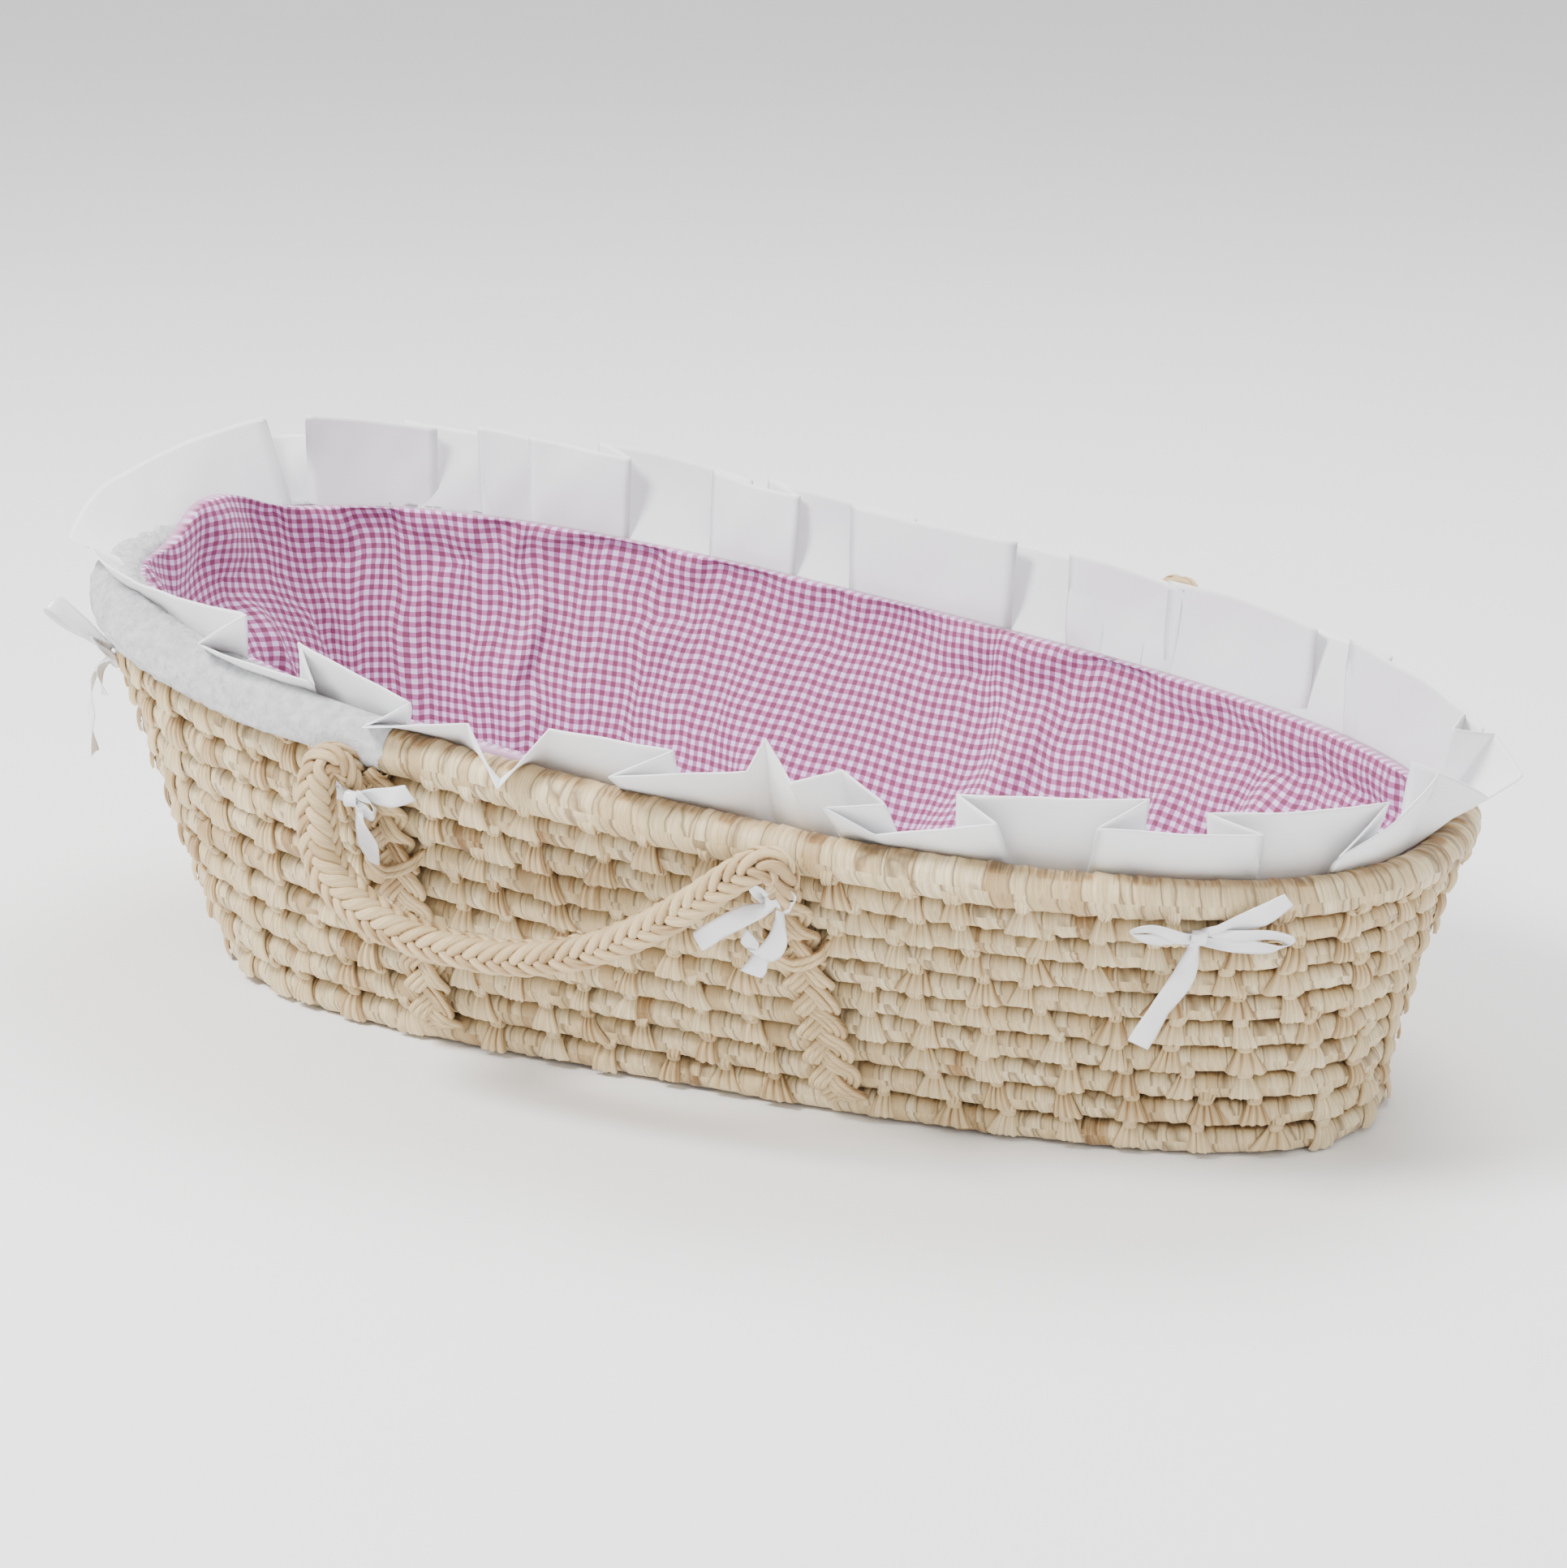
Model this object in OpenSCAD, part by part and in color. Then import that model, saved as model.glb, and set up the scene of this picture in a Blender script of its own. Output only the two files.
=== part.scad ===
// Moses basket: a coiled husk basket with a quilted liner, a pleated frill,
// a lift-out mattress and two hinged rope handles.
// Millimetres. +X points to the foot end, +Z up, origin on the floor under the rim's middle.

/* [Basket] */
// Half length of the rim, to the middle of the rim coil
rim_half_length = 389; // [360:1:410]
// Half width of the rim, to the middle of the rim coil
rim_half_width = 201; // [185:1:215]
// Height of the rim coil's middle at the foot end
rim_height_foot = 159; // [150:1:175]
// Height of the rim coil's middle at the head end
rim_height_head = 224; // [205:1:240]
// How late the rim starts to rise towards the head end
rim_rise_power = 1.5; // [1.2:0.1:1.8]
// Reach of the base from the base centre to the foot end
base_reach_foot = 385; // [370:1:390]
// Reach of the base from the base centre to the head end
base_reach_head = 288; // [270:1:300]
// Half width of the base
base_half_width = 125; // [115:1:140]
// Base centre along the basket
base_centre_x = -32; // [-40:1:-20]

/* [Wall] */
// Number of husk coils above the base coil, rim coil included
rim_row = 9; // [9:1:9]
// Gap left between neighbouring coils
coil_gap = 0.8; // [0.6:0.1:1.2]
// Thickest that the rim coil may be, as a radius
rim_coil_max_r = 13; // [12:0.5:13.5]
// Thickness of the base mat
base_mat_h = 8; // [6:0.5:8]

/* [Liner] */
// Thickness of the quilted liner
liner_t = 7; // [5:0.5:8]
// Depth of the pleated frill cloth
frill_depth = 60; // [50:1:62]
// How much shorter the frill stands along the front
frill_front_cut = 20; // [18:1:26]
// Thickness of the mattress pad
pad_h = 28; // [20:1:32]

/* [Handles] */
// Radius of the braided handle rope
rope_r = 12; // [10:0.5:12.5]
// Distance between the two turns of one handle
handle_span = 250; // [248:1:252]
// Fall from the head turn to the foot turn of one handle
handle_fall = 17; // [14:1:20]
// Distance of the handle axes from the basket's middle plane
handle_y = 225; // [224:1:228]
// Width of the flat braided straps
strap_w = 24; // [20:1:26]
// Thickness of the flat braided straps
strap_t = 7; // [5:0.5:8]

/* [Hidden] */

step = 6;                 // degrees between neighbouring sections of a ring
sides = 8;                // sides of a coil's section
rim_squareness = 2.39;    // 2 is an ellipse, more is squarer
base_squareness = 2.8;
rim_egg = 0.071;          // how much wider the head end is than the foot end
base_egg = 0.14;
foot_flare = 1.5;         // above 1 the wall is steep below and leans out above
head_flare = 0.85;
rim_pitch_extra = 0.15;   // the rim coil's extra share of one coil pitch
liner_gap = 1.5;
seam_in = 3.8;            // from the rim coil's inner side to the liner's top
seam_up = 8;              // from the rim coil's middle up to the liner's top
band_t = 2.5;
frill_t = 8;
husk = "#dccdae";
rope = "#dfd0ae";
front_head_turn = [-147, -handle_y, 187];
back_head_turn = [-100, handle_y + 3, 219];
turn_pin_r = 5;
turn_clear = 0.3;
eye_l = 24;
handle_route = [          // along X and up from the head turn
    [0, -14], [-3, -30], [-1, -48], [8, -64], [26, -77], [50, -85], [80, -89], [112, -88],
    [143, -82], [172, -72], [198, -62], [222, -56], [241, -48], [249, -39], [250, -32]];

// ---- shapes of the wall -------------------------------------------------

function mix(a, b, u) = a + (b - a) * u;
function squared(v, n) = sign(v) * pow(abs(v), 2 / n);
function rim_plan(t) =
    let (c = squared(cos(t), rim_squareness), s = squared(sin(t), rim_squareness))
    [rim_half_length * c, rim_half_width * s * (1 - rim_egg * c)];
function base_plan(t) =
    let (c = squared(cos(t), base_squareness), s = squared(sin(t), base_squareness))
    [(c > 0 ? base_reach_foot : base_reach_head) * c + base_centre_x,
     base_half_width * s * (1 - base_egg * c)];
function rim_z(t) =
    mix(rim_height_foot, rim_height_head,
        pow((1 - squared(cos(t), rim_squareness)) / 2, rim_rise_power));
function flare(t) = mix(head_flare, foot_flare, (1 + cos(t)) / 2);
function wall_plan(t, u) = base_plan(t) + (rim_plan(t) - base_plan(t)) * pow(u, flare(t));
function pitch(t) =
    let (d = rim_plan(t) - base_plan(t)) norm([d.x, d.y, rim_z(t) - 12]) / (rim_row + rim_pitch_extra);
function coil_r(t) = (pitch(t) - coil_gap) / 2;
function rim_r(t) = min(rim_coil_max_r, (0.5 + rim_pitch_extra) * pitch(t) - coil_gap / 2);
function row_r(t, k) = k == rim_row ? rim_r(t) : coil_r(t);
function rise(k) = k == rim_row ? 1 : k / (rim_row + rim_pitch_extra);
function wall_point(t, u) =
    let (p = wall_plan(t, u)) [p.x, p.y, mix(coil_r(t) + 0.3, rim_z(t), u)];
function outward(t, u) =
    let (d = wall_plan(t + 1, u) - wall_plan(t - 1, u)) [d.y, -d.x, 0] / norm(d);
// A point beside the wall: out is level and away from the basket, up is vertical.
function beside(t, u, out, up) = wall_point(t, u) + outward(t, u) * out + [0, 0, up];
function inset_base(d) =
    [for (t = [0 : step : 359]) let (p = beside(t, 0, -d, 0)) [p.x, p.y]];

// ---- sweeps -------------------------------------------------------------

function strip(i, i2, j, j2, m) =
    [[i * m + j, i2 * m + j, i2 * m + j2], [i * m + j, i2 * m + j2, i * m + j2]];

// Sections in a closed ring
module ring_sweep(sections) {
    n = len(sections);
    m = len(sections[0]);
    polyhedron([for (s = sections) each s],
        [for (i = [0 : n - 1], j = [0 : m - 1]) each strip(i, (i + 1) % n, j, (j + 1) % m, m)]);
}

// Sections in a row, closed by a flat cap at each end
module row_sweep(sections) {
    n = len(sections);
    m = len(sections[0]);
    polyhedron([for (s = sections) each s], concat(
        [for (i = [0 : n - 2], j = [0 : m - 1]) each strip(i, i + 1, j, (j + 1) % m, m)],
        [[for (j = [0 : m - 1]) j]],
        [[for (j = [m - 1 : -1 : 0]) (n - 1) * m + j]]));
}

module rod(a, b, r) {
    d = b - a;
    translate(a)
        rotate([0, acos(d.z / norm(d)), atan2(d.y, d.x)])
            cylinder(h = norm(d), r = r, $fn = 24);
}

// ---- basket -------------------------------------------------------------

module base_mat()
    color(husk) linear_extrude(base_mat_h)
        polygon([for (t = [0 : step : 359])
            let (p = beside(t, 0, -coil_r(t) - 0.8, 0)) [p.x, p.y]]);

module coil(k)
    color(husk) ring_sweep([for (t = [0 : step : 359])
        [for (a = [0 : 360 / sides : 359])
            beside(t, rise(k), row_r(t, k) * cos(a), row_r(t, k) * sin(a))]]);

// Knots of husk that bind coil k to the coil above it, in the valley between the two
module husk_ties(k)
    color(husk) for (t = [step * (k % 3) : 3 * step : 359])
        if (clear_of(strap_angles, t, 4.5) && (k < 7 || clear_of([bow_angles], t, 7.5))) {
            a = wall_point(t, rise(k - 1));
            b = wall_point(t, rise(k));
            up = (b - a) / norm(b - a);
            along = cross([0, 0, 1], outward(t, rise(k)));
            out = cross(along, up);
            s = coil_r(t) / 8;
            p = a + up * (coil_r(t) + coil_gap / 2);
            multmatrix([[out.x, up.x, along.x, p.x], [out.y, up.y, along.y, p.y],
                        [out.z, up.z, along.z, p.z]])
                linear_extrude(10, center = true)
                    scale(s) polygon([[4.6, 0], [9.6, 5.2], [11.4, 4], [12, 0], [11.4, -4], [9.6, -5.2]]);
        }
function clear_of(angle_lists, t, room) =
    min([for (angles = angle_lists) each [for (a = angles) abs(t - a)]]) > room;

// ---- liner and bedding --------------------------------------------------

function liner_ring(u, thick) =
    [for (t = [0 : step : 359]) beside(t, u, -coil_r(t) - liner_gap - thick, 0)];
function liner_top(thick) =
    [for (t = [0 : step : 359]) beside(t, 1, -rim_r(t) - seam_in - thick, seam_up)];
function floor_ring(z, d) =
    [for (t = [0 : step : 359]) let (p = beside(t, 0, -coil_r(t) - d, 0)) [p.x, p.y, z]];

module liner()
    color("#d58fb6") row_sweep([
        floor_ring(base_mat_h + 0.4, liner_gap + 1),
        liner_ring(0.13, 0), liner_ring(0.35, 0), liner_ring(0.6, 0), liner_ring(0.86, 1),
        liner_top(0), liner_top(liner_t),
        liner_ring(0.86, liner_t + 1), liner_ring(0.6, liner_t), liner_ring(0.35, liner_t),
        liner_ring(0.13, liner_t),
        floor_ring(base_mat_h + 3.4, liner_gap + liner_t + 1)]);

// Fleecy edge of the liner, turned over the rim coil round the head end
module batting_band()
    color("#eceef2") row_sweep([for (t = [114 : step : 246])
        let (r = rim_r(t) + 0.5, arc = [for (a = [145 : -27 : -45]) a])
        concat(
            [for (a = arc) beside(t, 1, r * cos(a), r * sin(a))],
            [for (i = [len(arc) - 1 : -1 : 0])
                beside(t, 1, (r + band_t) * cos(arc[i]), (r + band_t) * sin(arc[i]))])]);

// The frill leans out from the seam; least at the back, and it stands shorter at the front.
function front_share(t) = pow(max(0, -sin(t)), 2);
function frill_lean(t) = 48 - 26 * max(0, sin(t)) - 13 * front_share(t);
function frill_length(t) = frill_depth - frill_front_cut * front_share(t);
module frill()
    color("white") ring_sweep([for (t = [0 : step : 359])
        let (x0 = -rim_r(t) - seam_in - frill_t / 2, z0 = seam_up + 0.4,
             l = frill_length(t), a = frill_lean(t),
             x1 = x0 + l * 0.4 * sin(a / 2), z1 = z0 + l * 0.4 * cos(a / 2),
             x2 = x0 + l * sin(a), z2 = z0 + l * cos(a), w = frill_t / 2)
        [beside(t, 1, x0 + w, z0), beside(t, 1, x1 + w, z1), beside(t, 1, x2 + w, z2),
         beside(t, 1, x2 - w, z2), beside(t, 1, x1 - w, z1), beside(t, 1, x0 - w, z0)]]);

pad_inset = 28;
pad_z = base_mat_h + 5;
sheet_t = 1;
module mattress_pad()
    color("#f4f2ea") translate([0, 0, pad_z]) linear_extrude(pad_h) polygon(inset_base(pad_inset));

module fitted_sheet()
    color("#f6f5f3") difference() {
        translate([0, 0, pad_z - 0.6])
            linear_extrude(pad_h + 0.6 + 0.4 + sheet_t)
                polygon(inset_base(pad_inset - 0.4 - sheet_t));
        translate([0, 0, pad_z - 2])
            linear_extrude(pad_h + 2 + 0.4) polygon(inset_base(pad_inset - 0.4));
    }

// ---- handles ------------------------------------------------------------

function foot_turn(head) = head + [handle_span, 0, -handle_fall];
axis_dir = [handle_span, 0, -handle_fall] / norm([handle_span, 0, -handle_fall]);
function route(head) = [for (p = handle_route) head + [p.x, 0, p.y]];
function heading(pts, i) =
    let (d = pts[min(i + 1, len(pts) - 1)] - pts[max(i - 1, 0)]) d / norm(d);

module handle(head) {
    pts = route(head);
    color(rope) row_sweep([for (i = [0 : len(pts) - 1])
        let (d = heading(pts, i), n = [d.z, 0, -d.x])
        [for (a = [0 : 360 / 10 : 359]) pts[i] + rope_r * (cos(a) * n + sin(a) * [0, 1, 0])]]);
}

module eye(p)
    difference() {
        rod(p - axis_dir * eye_l / 2, p + axis_dir * eye_l / 2, rope_r - 0.5);
        rod(p - axis_dir * eye_l, p + axis_dir * eye_l, turn_pin_r + turn_clear);
    }

module handle_eyes(head)
    color(rope) {
        eye(head);
        eye(foot_turn(head));
    }

// The turn of rope that a handle end swings on: a bar on the axis and two legs to the rim
module rope_turn(p, t) {
    half = eye_l / 2 + 4;
    rim = beside(t, 1, rim_r(t) + 4, 0);
    color(rope) {
        rod(p - axis_dir * (half + 3), p + axis_dir * (half + 3), turn_pin_r);
        for (s = [-1, 1])
            rod(p + s * axis_dir * half, [p.x + s * half, rim.y, min(p.z, rim.z)], 3);
    }
}

// Angle of each strap on the wall, at the rim and at the base
front_head_angles = [255, 257];
front_foot_angles = [281.5, 284];
back_head_angles = [99, 95];
back_foot_angles = [71, 69];
strap_angles = [front_head_angles, front_foot_angles, back_head_angles, back_foot_angles];
bow_angles = [209, 151, 249, 276, 105, 76, 319, 41];

module strap(angles)
    color(rope) row_sweep([for (k = [0 : 8])
        let (u = rise(k), t = mix(angles[1], angles[0], u), n = outward(t, u),
             along = [-n.y, n.x, 0], p = beside(t, u, coil_r(t) + 0.6, k == 0 ? 1 : 0))
        [p - along * strap_w / 2, p - along * (strap_w / 2 - 3) + n * strap_t,
         p + along * (strap_w / 2 - 3) + n * strap_t, p + along * strap_w / 2]]);

// Cord lashed across each strap
module strap_lashings()
    color(rope) for (angles = strap_angles) {
        u = rise(6);
        t = mix(angles[1], angles[0], u);
        n = outward(t, u);
        p = beside(t, u, coil_r(t) + 0.6 + strap_t + 2.4, 0);
        rod(p - [-n.y, n.x, 0] * 15, p + [-n.y, n.x, 0] * 15, 2);
    }

// ---- ribbon bows --------------------------------------------------------

ribbon_w = 12;
ribbon_t = 1;
bow_row = 8;
// A flat bow in its own XZ plane: knot, two loops and two tails; y is away from the basket.
module bow(loop_l, tail_l, splay) {
    translate([-4, 0, -4.5]) cube([8, 6, 9]);
    for (s = [-1, 1]) {
        mirror([s < 0 ? 1 : 0, 0, 0]) {
            translate([3.5, 3, -ribbon_w / 2]) linear_extrude(ribbon_w) difference() {
                polygon([[0, -1], [loop_l * 0.5, -3], [loop_l, -1.5], [loop_l, 1.5],
                         [loop_l * 0.5, 3], [0, 1]]);
                polygon([[2, -0.2], [loop_l * 0.5, -2], [loop_l - 1, -0.8], [loop_l - 1, 0.8],
                         [loop_l * 0.5, 2], [2, 0.2]]);
            }
            translate([2, 1, -3]) rotate([0, splay, 0])
                translate([0, 0, -ribbon_w / 2]) cube([tail_l, ribbon_t, ribbon_w]);
        }
    }
}

module wall_bow(t, loop_l, tail_l, splay) {
    u = rise(bow_row);
    n = outward(t, u);
    p = beside(t, u, coil_r(t) + 1.2, 0);
    color("white") translate(p) rotate([0, 0, atan2(n.y, n.x) - 90]) bow(loop_l, tail_l, splay);
}

base_mat();
for (k = [1 : 9]) {
    coil(k - 1);
    husk_ties(k);
}
coil(rim_row);  // rim_coil
liner();
batting_band();
frill();
mattress_pad();
fitted_sheet();
handle(front_head_turn);  // front_handle
handle(back_head_turn);  // back_handle
handle_eyes(front_head_turn);  // front_handle_eyes
handle_eyes(back_head_turn);  // back_handle_eyes
rope_turn(front_head_turn, 252);  // front_turn_head
rope_turn(foot_turn(front_head_turn), 282);  // front_turn_foot
rope_turn(back_head_turn, 102);  // back_turn_head
rope_turn(foot_turn(back_head_turn), 72);  // back_turn_foot
strap(front_head_angles);  // front_strap_head
strap(front_foot_angles);  // front_strap_foot
strap(back_head_angles);  // back_strap_head
strap(back_foot_angles);  // back_strap_foot
strap_lashings();
wall_bow(bow_angles[0], 30, 60, 70);  // bow_head_front
wall_bow(bow_angles[1], 30, 60, 70);  // bow_head_back
wall_bow(bow_angles[2], 12, 45, 80);  // bow_front_handle_head
wall_bow(bow_angles[3], 12, 45, 80);  // bow_front_handle_foot
wall_bow(bow_angles[4], 12, 45, 80);  // bow_back_handle_head
wall_bow(bow_angles[5], 12, 45, 80);  // bow_back_handle_foot
wall_bow(bow_angles[6], 34, 70, 65);  // bow_foot_front
wall_bow(bow_angles[7], 34, 70, 65);  // bow_foot_back
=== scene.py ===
"""Moses basket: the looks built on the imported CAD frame, in metres, +X to the foot end, +Z up."""
import math

import bpy
import numpy as np
from mathutils import Matrix, Vector


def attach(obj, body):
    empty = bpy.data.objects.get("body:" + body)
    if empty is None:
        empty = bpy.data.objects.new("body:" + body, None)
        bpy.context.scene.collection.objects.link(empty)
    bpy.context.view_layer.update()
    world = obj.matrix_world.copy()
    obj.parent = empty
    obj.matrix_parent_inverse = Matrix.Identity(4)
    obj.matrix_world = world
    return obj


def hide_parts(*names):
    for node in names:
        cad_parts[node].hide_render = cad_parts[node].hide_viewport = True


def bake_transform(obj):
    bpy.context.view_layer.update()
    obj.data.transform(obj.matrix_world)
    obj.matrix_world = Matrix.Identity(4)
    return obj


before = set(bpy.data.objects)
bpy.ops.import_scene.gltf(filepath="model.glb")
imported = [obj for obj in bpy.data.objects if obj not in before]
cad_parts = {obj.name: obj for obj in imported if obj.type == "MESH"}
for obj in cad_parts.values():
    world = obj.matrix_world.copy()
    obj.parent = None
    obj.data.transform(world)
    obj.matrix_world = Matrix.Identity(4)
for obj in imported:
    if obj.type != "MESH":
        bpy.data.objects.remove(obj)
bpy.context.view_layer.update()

TAU = 2 * math.pi
MM = 0.001
UP = np.array([0, 0, 1.0])

# ---- driving dimensions, as in part.scad, in metres ------------------------

RIM_HALF_LENGTH, RIM_HALF_WIDTH = 0.389, 0.201
RIM_HEIGHT_FOOT, RIM_HEIGHT_HEAD, RIM_RISE_POWER = 0.159, 0.224, 1.5
BASE_REACH_FOOT, BASE_REACH_HEAD = 0.385, 0.288
BASE_HALF_WIDTH, BASE_CENTRE_X = 0.125, -0.032
RIM_SQUARENESS, BASE_SQUARENESS = 2.39, 2.8
RIM_EGG, BASE_EGG = 0.071, 0.14
FOOT_FLARE, HEAD_FLARE = 1.5, 0.85
RIM_ROW, RIM_EXTRA = 9, 0.15
COIL_GAP, RIM_COIL_MAX_R = 0.0008, 0.013
BASE_MAT_H = 0.008
SEAM_IN, SEAM_UP = 0.0038, 0.008
LINER_T, LINER_GAP = 0.007, 0.0015
FRILL_DEPTH = 0.060
HANDLE_Y = 0.225
FRONT_HEAD_TURN = (-0.147, -HANDLE_Y, 0.187)
BACK_HEAD_TURN = (-0.100, HANDLE_Y + 0.003, 0.219)
STRAP_ANGLES = {
    "front_strap_head": (255, 257), "front_strap_foot": (281.5, 284),
    "back_strap_head": (99, 95), "back_strap_foot": (71, 69)}


# ---- shape of the wall -----------------------------------------------------

def mix(a, b, u):
    return a + (b - a) * u


def squared(v, n):
    return np.sign(v) * np.abs(v) ** (2 / n)


def rim_plan(t):
    c, s = squared(np.cos(t), RIM_SQUARENESS), squared(np.sin(t), RIM_SQUARENESS)
    return np.stack([RIM_HALF_LENGTH * c, RIM_HALF_WIDTH * s * (1 - RIM_EGG * c)], -1)


def base_plan(t):
    c, s = squared(np.cos(t), BASE_SQUARENESS), squared(np.sin(t), BASE_SQUARENESS)
    reach = np.where(c > 0, BASE_REACH_FOOT, BASE_REACH_HEAD)
    return np.stack([reach * c + BASE_CENTRE_X, BASE_HALF_WIDTH * s * (1 - BASE_EGG * c)], -1)


def rim_z(t):
    c = squared(np.cos(t), RIM_SQUARENESS)
    return mix(RIM_HEIGHT_FOOT, RIM_HEIGHT_HEAD, ((1 - c) / 2) ** RIM_RISE_POWER)


def wall_plan(t, u):
    flare = mix(HEAD_FLARE, FOOT_FLARE, (1 + np.cos(t)) / 2)
    share = np.sign(u) * np.abs(u) ** flare
    return base_plan(t) + (rim_plan(t) - base_plan(t)) * share[..., None]


def coil_pitch(t):
    d = rim_plan(t) - base_plan(t)
    rise = rim_z(t) - 0.012
    return np.sqrt(d[..., 0] ** 2 + d[..., 1] ** 2 + rise ** 2) / (RIM_ROW + RIM_EXTRA)


def coil_r(t):
    return (coil_pitch(t) - COIL_GAP) / 2


def rim_r(t):
    return np.minimum(RIM_COIL_MAX_R, (0.5 + RIM_EXTRA) * coil_pitch(t) - COIL_GAP / 2)


def row_r(t, row):
    return rim_r(t) if row == RIM_ROW else coil_r(t)


def rise(row):
    return 1.0 if row == RIM_ROW else row / (RIM_ROW + RIM_EXTRA)


def wall_point(t, u):
    t, u = np.broadcast_arrays(np.asarray(t, float), np.asarray(u, float))
    plan = wall_plan(t, u)
    z = mix(coil_r(t) + 0.0003, rim_z(t), u)
    return np.concatenate([plan, z[..., None]], -1)


def outward(t, u):
    t, u = np.broadcast_arrays(np.asarray(t, float), np.asarray(u, float))
    d = wall_plan(t + 0.01, u) - wall_plan(t - 0.01, u)
    n = np.stack([d[..., 1], -d[..., 0], np.zeros_like(t)], -1)
    return n / np.linalg.norm(n, axis=-1, keepdims=True)


def beside(t, u, out, up):
    """Points beside the wall: out is level and away from the basket, up is vertical."""
    return wall_point(t, u) + outward(t, u) * np.asarray(out)[..., None] + UP * np.asarray(up)[..., None]


def distances(line):
    """How far along a line each of its points lies."""
    return np.concatenate([[0], np.cumsum(np.linalg.norm(np.diff(line, axis=0), axis=1))])


class Ring:
    """A closed line round the wall at one height, measured by its length."""

    def __init__(self, u):
        self.u = u
        self.angles = np.linspace(0, TAU, 6001)
        self.lengths = distances(wall_point(self.angles, u))
        self.length = self.lengths[-1]

    def angle(self, s):
        turns = np.floor(s / self.length)
        return np.interp(s - turns * self.length, self.lengths, self.angles) + turns * TAU

    def at_angle(self, t):
        return float(np.interp(t, self.angles, self.lengths))


RINGS = [Ring(rise(row)) for row in range(RIM_ROW + 1)]


# ---- small noise and spline helpers ----------------------------------------

def wave_noise(x, seed, octaves=4, base=1.0):
    """Smooth repeatable noise of one variable, about -1 to 1."""
    rng = np.random.default_rng(seed)
    total = np.zeros_like(x)
    for i in range(octaves):
        f = base * 1.9 ** i
        total += np.sin(x * f * rng.uniform(0.8, 1.2) + rng.uniform(0, TAU)) / 1.5 ** i
    return total / 2.2


def smooth(x, low, high):
    f = np.clip((x - low) / (high - low), 0, 1)
    return f * f * (3 - 2 * f)


def spline(points, count):
    """A Catmull-Rom curve through the points, resampled to even steps."""
    p = np.asarray(points, float)
    p = np.concatenate([[2 * p[0] - p[1]], p, [2 * p[-1] - p[-2]]])
    fine = []
    f = np.linspace(0, 1, 24, endpoint=False)[:, None]
    for i in range(1, len(p) - 2):
        a, b, c, d = p[i - 1:i + 3]
        fine.append(0.5 * (2 * b + (c - a) * f + (2 * a - 5 * b + 4 * c - d) * f ** 2
                           + (3 * b - a - 3 * c + d) * f ** 3))
    fine = np.concatenate(fine + [p[-2:-1]])
    s = distances(fine)
    even = np.linspace(0, s[-1], count)
    return np.stack([np.interp(even, s, fine[:, i]) for i in range(fine.shape[1])], -1)


def unit(v):
    return v / (np.linalg.norm(v, axis=-1, keepdims=True) + 1e-12)


# ---- meshes ----------------------------------------------------------------

def grid_faces(rows, columns, wrap_rows=False, wrap_columns=False):
    i = np.arange(rows if wrap_rows else rows - 1)[:, None]
    j = np.arange(columns if wrap_columns else columns - 1)[None, :]
    i2, j2 = (i + 1) % rows, (j + 1) % columns
    quads = np.stack([i * columns + j, i2 * columns + j, i2 * columns + j2, i * columns + j2], -1)
    return quads.reshape(-1, 4)


def make_mesh(name, verts, faces, uv=None, floats=None):
    """A smooth-shaded quad mesh. uv is one (u, v) for each face corner; floats are point attributes."""
    verts = np.asarray(verts, np.float32).reshape(-1, 3)
    faces = np.asarray(faces, np.int32)
    mesh = bpy.data.meshes.new(name)
    mesh.vertices.add(len(verts))
    mesh.vertices.foreach_set("co", verts.ravel())
    mesh.loops.add(faces.size)
    mesh.loops.foreach_set("vertex_index", faces.ravel())
    mesh.polygons.add(len(faces))
    mesh.polygons.foreach_set("loop_start", np.arange(0, faces.size, faces.shape[1], dtype=np.int32))
    mesh.polygons.foreach_set("loop_total", np.full(len(faces), faces.shape[1], np.int32))
    mesh.polygons.foreach_set("use_smooth", np.ones(len(faces), bool))
    if uv is not None:
        layer = mesh.uv_layers.new(name="UVMap")
        layer.data.foreach_set("uv", np.asarray(uv, np.float32).ravel())
    for key, values in (floats or {}).items():
        attribute = mesh.attributes.new(key, "FLOAT", "POINT")
        attribute.data.foreach_set("value", np.asarray(values, np.float32).ravel())
    mesh.update(calc_edges=True)
    mesh.validate()
    obj = bpy.data.objects.new(name, mesh)
    bpy.context.scene.collection.objects.link(obj)
    return obj


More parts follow.
